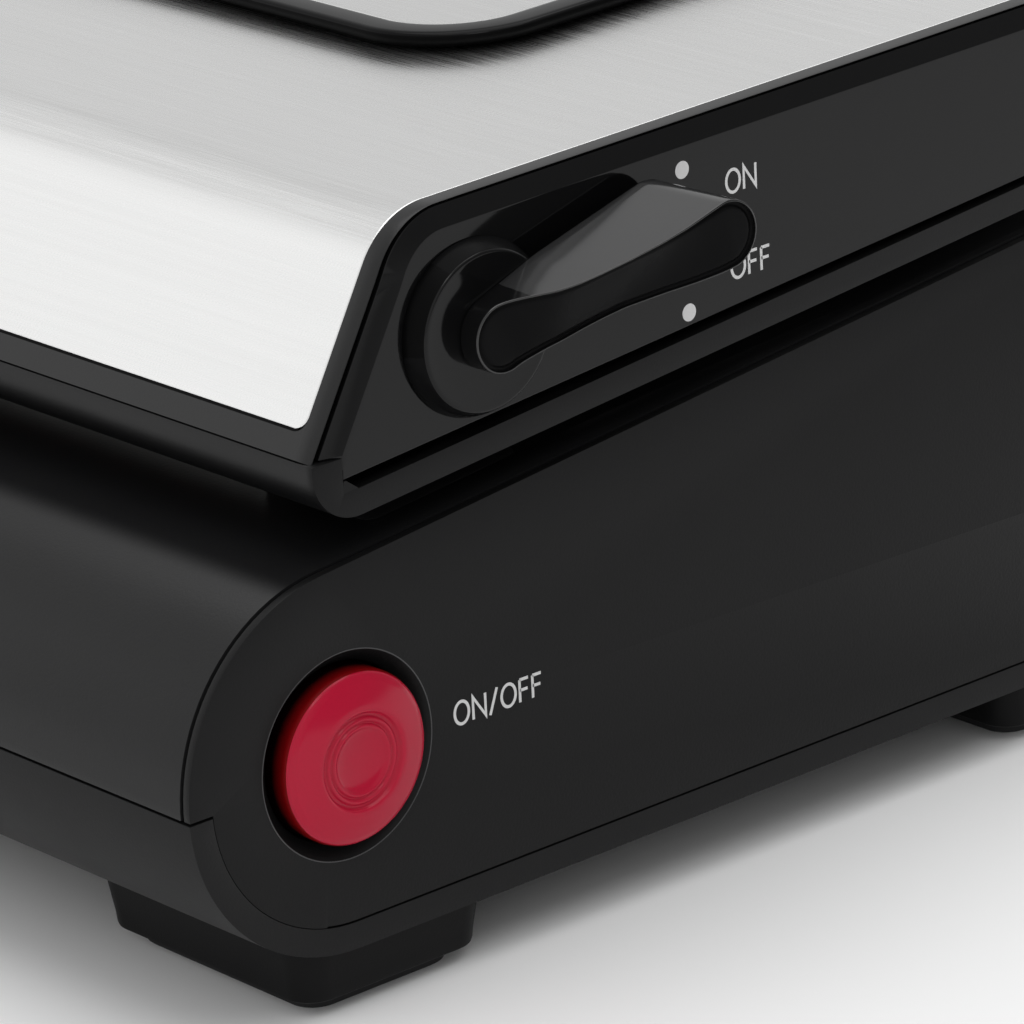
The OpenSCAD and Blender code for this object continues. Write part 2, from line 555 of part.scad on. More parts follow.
// station along the arm: x of the upper and lower outer edges
module lever_st(s, xu, xl) {
  lever_disc(s, 2.6, xl);
  lever_disc(s, 2.6, xu, 1.3, 3.4);
}
module lever() {
  color([0.05, 0.05, 0.055]) difference() {
    union() {
      translate([XR + 0.4, HUB[0], HUB[1]]) rotate([0, 90, 0]) rotate_extrude($fn = 96)
        polygon(concat([[0, -2.9], [5.9, -2.9], [5.9, 0], [10.4, 0]], arc([9.8, 1.4], 1.2, 0, 90, 6),
          [[9.3, 2.3], [8, 1.6], [7, 1.7], [6, 2.6], [0, 2.8]]));
      hull() { lever_disc(0.1, 2.6, 6.3, 5); lever_st(6.2, 12.2, 7.6); }
      hull() { lever_st(6.2, 12.2, 7.6); lever_st(14, 15.3, 9.3); }
      hull() { lever_st(14, 15.3, 9.3); lever_st(21.2, 17, 12.8); }
      hull() { lever_st(21.2, 17, 12.8); lever_disc(lev_l, 2.6, lever_out); }
    }
    cyl_x(XR - 4, XR + 5.4, HUB, 2.9, 48);
  }
}
module latch_shaft() {
  color([0.7, 0.71, 0.72]) union() {
    cyl_x(XL + 3.4, XR - 2.6, HUB, 4, 48);
    cyl_x(XR - 2.7, XR + 5, HUB, 2.9, 48);
  }
}
// downward hooks, one near each end of the shaft
module latch_hooks() {
  color([0.86, 0.85, 0.8]) for (x = KX) difference() {
    translate([x, HUB[0], HUB[1]]) rotate([15, 0, 0]) union() {
      translate([-2.5, 0, 0]) rotate([0, 90, 0]) cylinder(r = 7, h = 5, $fn = 64);
      translate([-2.5, -3, -19.6]) cube([5, 6, 17]);
      translate([-2.5, -3, -19.6]) cube([5, 9, 2.6]);
    }
    cyl_x(x - 4, x + 4, HUB, 4, 48);
  }
}

// ---- scale -----------------------------------------------------------------
module scale_platform() {
  color([0.05, 0.05, 0.055]) union() {
    on_top(PLX, PLY) translate([0, 0, 0.35]) difference() {
      rslab(plat_w, plat_d, 2.4, plat_r, 96);
      translate([0, 0, 1.6]) rslab(plat_w - 10, plat_d - 10, 2, plat_r - 5, 96);
    }
    on_top(PLX - 30, PLY) translate([0, 0, -4.2]) cylinder(r = 5, h = 5, $fn = 48);
  }
}
module platform_plate() {
  color([0.78, 0.78, 0.78]) on_top(PLX, PLY) translate([0, 0, 1.95]) rslab(plat_w - 10.2, plat_d - 10.2, 0.7, plat_r - 5.1, 96);
}
module key(k) {
  on_top(-152 + 24 * k, 12) union() {
    translate([0, 0, -4]) cylinder(r = 5, h = 4.8, $fn = 48);
    translate([0, 0, -4.6]) cylinder(r = 6, h = 1.6, $fn = 48);
  }
}
module power_key() { color([0.2, 0.2, 0.2]) key(0); }
module tare_key() { color([0.2, 0.2, 0.2]) key(1); }
module unit_key() { color([0.2, 0.2, 0.2]) key(2); }

base_lower_housing();
base_upper_housing();
base_right_end_cap();
base_left_end_cap();
foot_blocks();
foot_pads();
lower_gasket();
drip_tray();
seal_bar();
heating_wire();
release_tape();
vacuum_pump();
pump_motor();
pump_crank();
vacuum_hose();
transformer();
main_circuit_board();
power_inlet();
accessory_hose_port();
latch_keepers();
hinge_brackets();
hinge_pins();
start_button();
button_spring();
start_switch();
base_screws();
lid_lower_frame();
lid_cover_frame();
lid_right_end_panel();
lid_left_end_panel();
steel_top_plate();
upper_gasket();
sealing_strip();
display_window();
display_board();
load_cell();
shaft_bushes();
lid_screws();
lever();
latch_shaft();
latch_hooks();
scale_platform();
platform_plate();
power_key();
tare_key();
unit_key();
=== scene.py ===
import bpy, bmesh, math
import numpy as np
from mathutils import Vector, Matrix


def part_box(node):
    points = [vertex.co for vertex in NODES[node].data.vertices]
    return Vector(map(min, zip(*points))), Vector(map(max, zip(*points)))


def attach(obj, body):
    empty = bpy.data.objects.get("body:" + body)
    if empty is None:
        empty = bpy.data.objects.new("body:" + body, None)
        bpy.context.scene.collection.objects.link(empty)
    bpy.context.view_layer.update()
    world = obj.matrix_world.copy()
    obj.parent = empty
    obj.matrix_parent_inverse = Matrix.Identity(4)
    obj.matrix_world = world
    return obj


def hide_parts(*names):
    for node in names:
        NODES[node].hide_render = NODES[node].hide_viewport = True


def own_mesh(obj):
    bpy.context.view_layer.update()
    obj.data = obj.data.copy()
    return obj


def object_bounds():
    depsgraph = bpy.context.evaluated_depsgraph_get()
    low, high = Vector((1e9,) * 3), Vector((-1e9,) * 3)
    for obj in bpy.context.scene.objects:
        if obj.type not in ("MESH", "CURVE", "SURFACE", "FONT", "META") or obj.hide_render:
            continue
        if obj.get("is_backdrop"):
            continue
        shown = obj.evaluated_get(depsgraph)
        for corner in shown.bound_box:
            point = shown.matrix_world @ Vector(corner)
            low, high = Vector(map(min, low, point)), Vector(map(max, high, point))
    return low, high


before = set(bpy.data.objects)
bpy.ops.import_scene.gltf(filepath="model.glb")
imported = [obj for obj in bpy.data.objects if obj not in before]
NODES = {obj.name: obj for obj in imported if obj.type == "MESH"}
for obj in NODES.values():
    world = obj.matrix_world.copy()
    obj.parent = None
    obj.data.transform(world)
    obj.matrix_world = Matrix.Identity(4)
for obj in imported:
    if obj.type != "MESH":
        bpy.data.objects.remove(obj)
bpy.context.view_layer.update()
MM = 0.001

# --------------------------------------------------------------------------
# shared measures, in millimetres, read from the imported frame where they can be
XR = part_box("base_right_end_cap")[1].x * 1000
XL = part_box("base_left_end_cap")[0].x * 1000
XC = (XR + XL) / 2
HUB = (-42.6, 87.2)
BTN = (-67.0, 36.0)
LB, TS, FA = 5.5, 1.645, 60.5
LN, CRN, AXC = (-63.1, 74.3), (81.0, 96.2), (80.0, 94.25)
P0 = (-70.1, 75.6)
NC, NR, BZ, DECK_A = (-67.0, 35.3), 26.0, 9.3, 6.1


def rad(a): return math.radians(a)


def lbot(y): return LN[1] - (7 - math.sin(rad(LB)) * (y - LN[0])) / math.cos(rad(LB))
def ltop(y): return CRN[1] + (12 + math.sin(rad(TS)) * (y - CRN[0])) / math.cos(rad(TS))
def deck(y): return NC[1] + (NR + math.sin(rad(DECK_A)) * (y - NC[0])) / math.cos(rad(DECK_A))


n0, n1, tt = math.sin(rad(FA)), -math.cos(rad(FA)), math.tan(rad(TS))
k0 = ltop(0) - 12 / math.cos(rad(TS))
by = (12 + n0 * P0[0] + n1 * P0[1] - n1 * k0) / (n0 + n1 * tt)
BU = (by, k0 + tt * by)

# --------------------------------------------------------------------------
# mesh helpers


def shade(me, angle=32):
    bm = bmesh.new(); bm.from_mesh(me)
    for f in bm.faces: f.smooth = True
    for e in bm.edges:
        e.smooth = not (len(e.link_faces) == 2 and e.calc_face_angle(0) > rad(angle))
    bm.to_mesh(me); bm.free()


def make(name, verts, faces, mat, body, replaces=(), angle=32, uv=None, weld=1e-7, merge=True):
    """Mesh from millimetre points; welded, outward normals, smooth with sharp edges kept."""
    me = bpy.data.meshes.new(name)
    me.from_pydata([(x * MM, y * MM, z * MM) for x, y, z in verts], [], [tuple(f) for f in faces])
    bm = bmesh.new(); bm.from_mesh(me)
    if uv is not None:
        lay = bm.loops.layers.uv.new("UVMap"); bm.verts.ensure_lookup_table()
        for f in bm.faces:
            for lp in f.loops:
                lp[lay].uv = uv[lp.vert.index]
    if merge:
        bmesh.ops.remove_doubles(bm, verts=bm.verts, dist=2e-6)
        bmesh.ops.dissolve_degenerate(bm, edges=bm.edges, dist=1e-7)
    bmesh.ops.recalc_face_normals(bm, faces=bm.faces)
    bm.to_mesh(me); bm.free()
    shade(me, angle)
    ob = bpy.data.objects.new(name, me)
    bpy.context.scene.collection.objects.link(ob)
    if mat: me.materials.append(mat)
    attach(ob, body)
    if replaces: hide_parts(*replaces)
    return ob


def loft(rings, close_u=True, cap=(True, True)):
    """Quads between rings of equally many points."""
    verts, faces = [], []
    n = len(rings[0])
    for r in rings: verts += [tuple(p) for p in r]
    for i in range(len(rings) - 1):
        for j in range(n if close_u else n - 1):
            a, b = i * n + j, i * n + (j + 1) % n
            faces.append((a, b, b + n, a + n))
    if cap[0]: faces.append(tuple(range(n - 1, -1, -1)))
    if cap[1]: faces.append(tuple((len(rings) - 1) * n + j for j in range(n)))
    return verts, faces


def lathe(profile, c, x0, n=128, sign=1):
    """Profile [(x offset, radius)] turned about an X axis through c=(y,z)."""
    verts, faces, rows = [], [], []
    for px, r in profile:
        if r < 1e-6:
            rows.append([len(verts)] * n); verts.append((x0 + sign * px, c[0], c[1])); continue
        row = []
        for k in range(n):
            a = 2 * math.pi * k / n
            row.append(len(verts)); verts.append((x0 + sign * px, c[0] + r * math.cos(a), c[1] + r * math.sin(a)))
        rows.append(row)
    for i in range(len(rows) - 1):
        for k in range(n):
            f = [rows[i][k], rows[i][(k + 1) % n], rows[i + 1][(k + 1) % n], rows[i + 1][k]]
            g = []
            for v in f:
                if v not in g: g.append(v)
            if len(g) > 2: faces.append(g)
    return verts, faces


def arcpts(cx, cy, r, a0, a1, n):
    return [(cx + r * math.cos(rad(a0 + (a1 - a0) * i / n)), cy + r * math.sin(rad(a0 + (a1 - a0) * i / n))) for i in range(n + 1)]


def join_meshes(parts):
    verts, faces = [], []
    for v, f in parts:
        o = len(verts); verts += list(v); faces += [tuple(i + o for i in g) for g in f]
    return verts, faces


class Outline:
    """Smooth outline in (y, z) made of arcs joined by tangent lines, with outward normals; d moves it inwards."""

    def __init__(self, arcs, start=None, end=None, step=2.0):
        P, N = [], []
        if start: P.append(start[0]); N.append(start[1])
        for (c, r, a0, a1, n) in arcs:
            for i in range(n + 1):
                a = rad(a0 + (a1 - a0) * i / n)
                u = (math.cos(a), math.sin(a))
                P.append((c[0] + r * u[0], c[1] + r * u[1])); N.append(u)
        if end: P.append(end[0]); N.append(end[1])
        # subdivide long straights
        Q, M = [P[0]], [N[0]]
        for i in range(1, len(P)):
            L = math.dist(P[i - 1], P[i]); k = max(1, int(L / step))
            for j in range(1, k + 1):
                t = j / k
                Q.append((P[i - 1][0] + (P[i][0] - P[i - 1][0]) * t, P[i - 1][1] + (P[i][1] - P[i - 1][1]) * t))
                m = np.array(N[i - 1]) * (1 - t) + np.array(N[i]) * t
                M.append(tuple(m / np.linalg.norm(m)))
        self.P, self.N = np.array(Q), np.array(M)
        self.s = np.concatenate([[0], np.cumsum(np.linalg.norm(np.diff(self.P, axis=0), axis=1))])

    def at(self, s, d=0.0):
        y = np.interp(s, self.s, self.P[:, 0]); z = np.interp(s, self.s, self.P[:, 1])
        ny = np.interp(s, self.s, self.N[:, 0]); nz = np.interp(s, self.s, self.N[:, 1])
        L = np.hypot(ny, nz)
        return y - d * ny / L, z - d * nz / L

    def s_where(self, test):
        """First arc length at which test(y, z) turns true."""
        ss = np.linspace(0, self.s[-1], 6000); y, z = self.at(ss)
        for a, yy, zz in zip(ss, y, z):
            if test(yy, zz): return a
        return self.s[-1]


ang = lambda a: (math.cos(rad(a)), math.sin(rad(a)))
# lid outline from the front parting edge over the top and down the rear
LID = Outline([(BU, 12, 90 + FA, 90 + TS, 28), (CRN, 12, 90 + TS, 0, 28), (AXC, 13, 0, -84.5, 30)],
              start=((P0[0] + 0.12 / math.tan(rad(FA)), P0[1] + 0.12), ang(90 + FA)), step=2.0)

# --------------------------------------------------------------------------
# materials


def mat_new(name):
    m = bpy.data.materials.new(name); m.use_nodes = True
    nt = m.node_tree
    b = nt.nodes["Principled BSDF"]
    return m, nt, b


def node(nt, kind, **kw):
    n = nt.nodes.new(kind)
    for k, v in kw.items():
        if k in n.inputs.keys() if hasattr(n.inputs, "keys") else False: n.inputs[k].default_value = v
        else: setattr(n, k, v)
    return n


def coords(nt, scale=(1, 1, 1), uv=False):
    tc = nt.nodes.new("ShaderNodeTexCoord"); mp = nt.nodes.new("ShaderNodeMapping")
    mp.inputs["Scale"].default_value = scale
    nt.links.new(tc.outputs["UV" if uv else "Object"], mp.inputs["Vector"])
    return mp.outputs["Vector"]


def noise(nt, vec, scale, detail=3, rough=0.6):
    n = nt.nodes.new("ShaderNodeTexNoise")
    n.inputs["Scale"].default_value = scale; n.inputs["Detail"].default_value = detail
    n.inputs["Roughness"].default_value = rough
    nt.links.new(vec, n.inputs["Vector"])
    return n.outputs["Fac"]


def ramp(nt, fac, stops):
    r = nt.nodes.new("ShaderNodeValToRGB"); e = r.color_ramp.elements
    e[0].position, e[0].color = stops[0][0], (*([stops[0][1]] * 3 if np.isscalar(stops[0][1]) else stops[0][1]), 1)
    e[1].position, e[1].color = stops[-1][0], (*([stops[-1][1]] * 3 if np.isscalar(stops[-1][1]) else stops[-1][1]), 1)
    for p, c in stops[1:-1]:
        k = e.new(p); k.color = (*([c] * 3 if np.isscalar(c) else c), 1)
    nt.links.new(fac, r.inputs["Fac"])
    return r.outputs["Color"]


def remap(nt, fac, lo, hi, a=0.3, b=0.7):
    m = nt.nodes.new("ShaderNodeMapRange")
    m.inputs["From Min"].default_value = a; m.inputs["From Max"].default_value = b
    m.inputs["To Min"].default_value = lo; m.inputs["To Max"].default_value = hi
    nt.links.new(fac, m.inputs["Value"])
    return m.outputs["Result"]


def bump(nt, b, height, strength, dist):
    u = nt.nodes.new("ShaderNodeBump")
    u.inputs["Strength"].default_value = strength; u.inputs["Distance"].default_value = dist
    nt.links.new(height, u.inputs["Height"]); nt.links.new(u.outputs["Normal"], b.inputs["Normal"])
    return u


# Mix of two base colours by a factor: random tone in most materials, painted shade on the button's side wall.
def mix_tone_and_painted_shade(nt, b, col_a, col_b, fac_out):
    mix = nt.nodes.new("ShaderNodeMix"); mix.data_type = "RGBA"
    mix.inputs["A"].default_value = (*col_a, 1); mix.inputs["B"].default_value = (*col_b, 1)
    nt.links.new(fac_out, mix.inputs["Factor"]); nt.links.new(mix.outputs["Result"], b.inputs["Base Color"])


def plastic(name, col, rough, grain=0.0, grain_scale=2600, var=0.12, spec=0.5, coat=0.0, smudge=0.05, coat_rough=0.05, rvar=0.04):
    """Moulded plastic: fine grain in the bump, slow variation in roughness and tone."""
    m, nt, b = mat_new(name)
    v = coords(nt)
    slow = noise(nt, v, 28, 4, 0.55)
    fine = noise(nt, v, grain_scale, 2, 0.6)
    lo = tuple(c * (1 - var) for c in col); hi = tuple(min(1, c * (1 + var)) for c in col)
    mixed = nt.nodes.new("ShaderNodeMath"); mixed.operation = "ADD"
    s1 = remap(nt, slow, 0.0, 0.5); s2 = remap(nt, fine, 0.0, 0.5)
    nt.links.new(s1, mixed.inputs[0]); nt.links.new(s2, mixed.inputs[1])
    mix_tone_and_painted_shade(nt, b, lo, hi, mixed.outputs[0])
    nt.links.new(remap(nt, slow, max(0.02, rough - rvar), rough + rvar), b.inputs["Roughness"])
    b.inputs["Specular IOR Level"].default_value = spec
    if coat:
        b.inputs["Coat Weight"].default_value = coat; b.inputs["Coat Roughness"].default_value = coat_rough
    if grain: bump(nt, b, fine, grain, 0.00006)
    return m


def metal(name, col, rough, aniso=0.0, stretch=(30, 2600, 2600), uv=False, strength=0.12, rv=0.06, tone=0.04):
    """Brushed metal: long thin noise streaks in tone, roughness and bump."""
    m, nt, b = mat_new(name)
    v = coords(nt, stretch, uv)
    streak = noise(nt, v, 1.0, 4, 0.7)
    v2 = coords(nt, tuple(x * 0.22 for x in stretch), uv)
    broad = noise(nt, v2, 1.0, 3, 0.6)
    mixed = nt.nodes.new("ShaderNodeMath"); mixed.operation = "ADD"
    nt.links.new(remap(nt, streak, 0, 0.6), mixed.inputs[0]); nt.links.new(remap(nt, broad, 0, 0.4), mixed.inputs[1])
    mix_tone_and_painted_shade(nt, b, tuple(c * (1 - tone) for c in col), tuple(min(1, c * (1 + tone)) for c in col), mixed.outputs[0])
    b.inputs["Metallic"].default_value = 1.0
    nt.links.new(remap(nt, streak, max(0.03, rough - rv), rough + rv), b.inputs["Roughness"])
    b.inputs["Anisotropic"].default_value = aniso
    if strength: bump(nt, b, streak, strength, 0.00003)
    return m


def rubber(name, col, rough=0.75, scale=1800, strength=0.4):
    m, nt, b = mat_new(name)
    v = coords(nt)
    f = noise(nt, v, scale, 5, 0.7)
    mix_tone_and_painted_shade(nt, b, tuple(c * 0.75 for c in col), tuple(min(1, c * 1.3) for c in col), remap(nt, f, 0, 1))
    nt.links.new(remap(nt, f, rough - 0.08, rough + 0.08), b.inputs["Roughness"])
    b.inputs["Specular IOR Level"].default_value = 0.35
    bump(nt, b, f, strength, 0.0001)
    return m


M = {}
M["base"] = plastic("base_satin_black", (0.0095, 0.0095, 0.0099), 0.36, grain=0.4, grain_scale=2400, spec=0.30)
M["base_low"] = plastic("base_lower_satin_black", (0.0070, 0.0070, 0.0073), 0.40, grain=0.4, grain_scale=2400, spec=0.17)
M["cap"] = plastic("end_cap_satin_black", (0.0055, 0.0055, 0.0057), 0.44, grain=0.4, grain_scale=2400, spec=0.16)
M["foot"] = plastic("foot_black", (0.0038, 0.0038, 0.0040), 0.5, grain=0.4, spec=0.13)
M["pad"] = rubber("pad_rubber_grey", (0.015, 0.015, 0.0155))
M["lid"] = plastic("lid_satin_black", (0.0075, 0.0075, 0.0078), 0.3, grain=0.22, spec=0.36)
M["lid_low"] = plastic("lid_lower_satin_black", (0.0055, 0.0055, 0.0057), 0.42, grain=0.3, spec=0.14)
M["panel"] = plastic("panel_gloss_black", (0.0032, 0.0032, 0.0034), 0.075, grain=0.0, spec=0.24, coat=0.0, rvar=0.01)
M["lever"] = plastic("lever_gloss_black", (0.0035, 0.0035, 0.0037), 0.10, grain=0.0, spec=0.6, rvar=0.015)
# lighter, more reflective copy of the lever black for its upward faces: painted light
M["lever_top_painted_light"] = plastic("lever_upper_side_painted_light", (0.021, 0.021, 0.0215), 0.14, grain=0.0, spec=0.85, rvar=0.02)
# duller copy of the lever black for its outer face: painted shade
M["lever_face_painted_shade"] = plastic("lever_face_painted_shade_black", (0.0050, 0.0050, 0.0052), 0.26, spec=0.03, rvar=0.02)
# dimmer, less reflective copy of the lever black for the flange face: painted shade
M["lever_disc"] = plastic("lever_disc_black", (0.0028, 0.0028, 0.0030), 0.09, grain=0.0, spec=0.22, rvar=0.012)
M["platform"] = plastic("platform_gloss_black", (0.003, 0.003, 0.0032), 0.10, spec=0.10, rvar=0.012)
# near-black, almost unreflective copy used as painted shade: platform side wall, gap under the steel sheet, lever
# groove and flange side
M["painted_shade"] = plastic("painted_shade_black", (0.0016, 0.0016, 0.0017), 0.45, spec=0.05, rvar=0.03)
M["red"] = plastic("button_red_gloss", (0.40, 0.0045, 0.028), 0.16, grain=0.0, spec=0.22, coat=0.0, var=0.05, rvar=0.03)
# darker, almost unreflective copy of the button red for its side wall: painted shade of the recess
M["red_side"] = plastic("button_side_painted_shade_red", (0.17, 0.0015, 0.0025), 0.35, spec=0.05, var=0.05)


def paint_recess_shade(m, x0, x1, dark, light):
    """Painted shade: colour that runs from dark deep in the recess to light between two heights along the button's
    travel.
    """
    nt = m.node_tree; b = nt.nodes["Principled BSDF"]
    sep = nt.nodes.new("ShaderNodeSeparateXYZ"); nt.links.new(coords(nt), sep.inputs[0])
    grain_ = noise(nt, coords(nt), 900, 2)
    sm = nt.nodes.new("ShaderNodeMath"); sm.operation = "MULTIPLY_ADD"; sm.inputs[1].default_value = 0.0004
    nt.links.new(grain_, sm.inputs[0]); nt.links.new(sep.outputs["X"], sm.inputs[2])
    mix_tone_and_painted_shade(nt, b, dark, light, remap(nt, sm.outputs[0], 0.0, 1.0, x0 * MM, x1 * MM))


def painted_shade_spec(m, z0, z1, lo_s, hi_s, ends=None, back=None):
    """Painted shade in the reflection: specular level that fades between two heights, so surfaces by the dark gap under
    the lid reflect little; ends and back give other levels on the end faces and the rear.
    """
    nt = m.node_tree; b = nt.nodes["Principled BSDF"]
    sep = nt.nodes.new("ShaderNodeSeparateXYZ"); nt.links.new(coords(nt), sep.inputs[0])
    mr = nt.nodes.new("ShaderNodeMapRange"); mr.interpolation_type = "SMOOTHSTEP"
    mr.inputs["From Min"].default_value = z0 * MM; mr.inputs["From Max"].default_value = z1 * MM
    mr.inputs["To Min"].default_value = lo_s; mr.inputs["To Max"].default_value = hi_s
    nt.links.new(sep.outputs["Z"], mr.inputs["Value"]); out = mr.outputs["Result"]
    if ends is not None:
        c = nt.nodes.new("ShaderNodeMath"); c.operation = "SUBTRACT"; c.inputs[1].default_value = XC * MM; nt.links.new(sep.outputs["X"], c.inputs[0])
        a = nt.nodes.new("ShaderNodeMath"); a.operation = "ABSOLUTE"; nt.links.new(c.outputs[0], a.inputs[0])
        f = remap(nt, a.outputs[0], 0.0, 1.0, ((XR - XL) / 2 - 1.3) * MM, ((XR - XL) / 2 - 0.3) * MM)
        mx = nt.nodes.new("ShaderNodeMix"); mx.data_type = "FLOAT"
        nt.links.new(f, mx.inputs["Factor"]); nt.links.new(out, mx.inputs["A"]); mx.inputs["B"].default_value = ends
        out = mx.outputs["Result"]
    if back is not None:
        mx = nt.nodes.new("ShaderNodeMix"); mx.data_type = "FLOAT"
        nt.links.new(remap(nt, sep.outputs["Y"], 0.0, 1.0, 0.0, 60 * MM), mx.inputs["Factor"])
        nt.links.new(out, mx.inputs["A"]); mx.inputs["B"].default_value = back
        out = mx.outputs["Result"]
    nt.links.new(out, b.inputs["Specular IOR Level"])


# painted shade: the base deck under the lid loses its reflection above 60.7 mm, the front nose keeps it, the rear keeps
# most
painted_shade_spec(M["base"], 59.3, 60.7, 0.30, 0.015, back=0.26)
# painted shade: the lid's lower frame loses its reflection below 69.6 mm, by the gap over the base; its end faces take
# a middle level
painted_shade_spec(M["lid_low"], 69.6, 73.2, 0.02, 0.33, ends=0.14)
# painted shade: the button's side runs from dark 0.9 mm inside the end face to light 2.3 mm out
paint_recess_shade(M["red_side"], XR - 0.9, XR + 2.3, (0.003, 0.0004, 0.0005), (0.19, 0.0018, 0.003))
M["steel"] = metal("steel_long_grain", (0.80, 0.80, 0.795), 0.27, aniso=0.55, stretch=(38, 3400, 1), uv=True, strength=0.10, rv=0.07, tone=0.05)
M["steel_plate"] = metal("steel_inlay", (0.74, 0.74, 0.735), 0.25, aniso=0.3, stretch=(38, 3400, 3400), strength=0.10)
M["zinc"] = metal("zinc_plated", (0.55, 0.56, 0.57), 0.32, stretch=(500, 500, 500), strength=0.1)
M["alu"] = metal("bar_aluminium", (0.72, 0.72, 0.7), 0.34, stretch=(30, 1500, 1500), strength=0.15)
M["wire"] = metal("heater_wire", (0.55, 0.5, 0.42), 0.4, stretch=(60, 3000, 3000))
M["spring"] = metal("spring_wire", (0.7, 0.7, 0.7), 0.25, stretch=(900, 900, 900))
M["foam"] = rubber("gasket_foam", (0.045, 0.045, 0.047), 0.9, 2200, 0.9)
M["silicone"] = rubber("strip_silicone", (0.22, 0.045, 0.03), 0.5, 900, 0.15)
M["hose"] = rubber("hose_silicone", (0.55, 0.55, 0.52), 0.35, 700, 0.1)
M["tray"] = plastic("tray_grey", (0.075, 0.075, 0.08), 0.35, grain=0.3)
M["nylon"] = plastic("nylon_natural", (0.62, 0.6, 0.54), 0.45, grain=0.2)
M["pump"] = plastic("pump_grey", (0.1, 0.105, 0.115), 0.5, grain=0.5)
M["iron"] = metal("laminated_core", (0.2, 0.2, 0.22), 0.5, stretch=(20, 1200, 20), strength=0.5)
M["latch_black"] = plastic("latch_part_black", (0.012, 0.012, 0.0125), 0.45, grain=0.3, spec=0.3)
M["port"] = plastic("port_black", (0.016, 0.016, 0.017), 0.35, grain=0.3)
M["key"] = plastic("key_soft_grey", (0.035, 0.035, 0.037), 0.5, grain=0.4)
M["mark"] = plastic("mark_print_grey", (0.60, 0.60, 0.60), 0.5, grain=0.2, var=0.06)


def woven_tape():
    m, nt, b = mat_new("release_tape_weave")
    v = coords(nt)
    w1 = nt.nodes.new("ShaderNodeTexWave"); w1.bands_direction = "X"; w1.inputs["Scale"].default_value = 300; w1.inputs["Distortion"].default_value = 0.4
    w2 = nt.nodes.new("ShaderNodeTexWave"); w2.bands_direction = "Y"; w2.inputs["Scale"].default_value = 300; w2.inputs["Distortion"].default_value = 0.4
    nt.links.new(v, w1.inputs["Vector"]); nt.links.new(v, w2.inputs["Vector"])
    a = nt.nodes.new("ShaderNodeMath"); a.operation = "MULTIPLY"
    nt.links.new(w1.outputs["Fac"], a.inputs[0]); nt.links.new(w2.outputs["Fac"], a.inputs[1])
    mix_tone_and_painted_shade(nt, b, (0.16, 0.09, 0.04), (0.3, 0.19, 0.09), a.outputs[0])
    nt.links.new(remap(nt, noise(nt, v, 60, 3), 0.42, 0.6), b.inputs["Roughness"])
    bump(nt, b, a.outputs[0], 0.4, 0.0001)
    return m


def board():
    m, nt, b = mat_new("circuit_board_green")
    v = coords(nt)
    vo = nt.nodes.new("ShaderNodeTexVoronoi"); vo.inputs["Scale"].default_value = 260; nt.links.new(v, vo.inputs["Vector"])
    mix_tone_and_painted_shade(nt, b, (0.012, 0.11, 0.045), (0.03, 0.2, 0.09), remap(nt, vo.outputs["Distance"], 0, 1, 0.0, 0.6))
    nt.links.new(remap(nt, noise(nt, v, 80, 3), 0.3, 0.45), b.inputs["Roughness"])
    bump(nt, b, vo.outputs["Distance"], 0.2, 0.0001)
    return m


def smoked():
    m, nt, b = mat_new("display_smoked")
    v = coords(nt)
    s = noise(nt, v, 40, 3)
    mix_tone_and_painted_shade(nt, b, (0.003, 0.0035, 0.0045), (0.006, 0.007, 0.0085), remap(nt, s, 0, 1))
    nt.links.new(remap(nt, s, 0.03, 0.07), b.inputs["Roughness"])
    b.inputs["Coat Weight"].default_value = 0.6; b.inputs["Coat Roughness"].default_value = 0.03
    return m


M["tape"] = woven_tape(); M["pcb"] = board(); M["window"] = smoked()

# --------------------------------------------------------------------------
# CAD nodes that stay: better materials and small rounded edges
KEEP = {"base_lower_housing": ("base_low", 0.4), "base_upper_housing": ("base", 0.35), "base_right_end_cap": ("cap", 0.28),
        "base_left_end_cap": ("cap", 0.28), "lower_gasket": ("foam", 0.5), "upper_gasket": ("foam", 0.5),
        "drip_tray": ("tray", 0.4), "seal_bar": ("alu", 0.2), "heating_wire": ("wire", 0.05), "release_tape": ("tape", 0.05),
        "vacuum_pump": ("pump", 0.4), "pump_motor": ("zinc", 0.4), "pump_crank": ("nylon", 0.3), "vacuum_hose": ("hose", 0.3),
        "transformer": ("iron", 0.4), "main_circuit_board": ("pcb", 0.2), "display_board": ("pcb", 0.2), "power_inlet": ("port", 0.3),
        "accessory_hose_port": ("port", 0.3), "latch_keepers": ("latch_black", 0.15), "hinge_brackets": ("zinc", 0.4),
        "hinge_pins": ("zinc", 0.4), "button_spring": ("spring", 0), "start_switch": ("pcb", 0.2), "base_screws": ("zinc", 0.15),
        "lid_screws": ("zinc", 0.15), "lid_lower_frame": ("lid_low", 0.45), "sealing_strip": ("silicone", 0.5), "load_cell": ("alu", 0.4),
        "shaft_bushes": ("nylon", 0.3), "latch_shaft": ("zinc", 0.3), "latch_hooks": ("latch_black", 0.4)}


def dress(name, mat, bev):
    o = NODES[name]
    o.data.materials.clear(); o.data.materials.append(M[mat])
    for p in o.data.polygons: p.use_smooth = True; p.material_index = 0
    w = o.modifiers.new("weld", "WELD"); w.merge_threshold = 0.00001
    if bev:
        b = o.modifiers.new("edges", "BEVEL"); b.width = bev * MM; b.segments = 2; b.limit_method = "ANGLE"
        b.angle_limit = rad(38); b.harden_normals = False; b.miter_outer = "MITER_ARC"; b.use_clamp_overlap = True
    s = nodes_smooth()
    g = o.modifiers.new("smooth", "NODES"); g.node_group = s


_sm = []


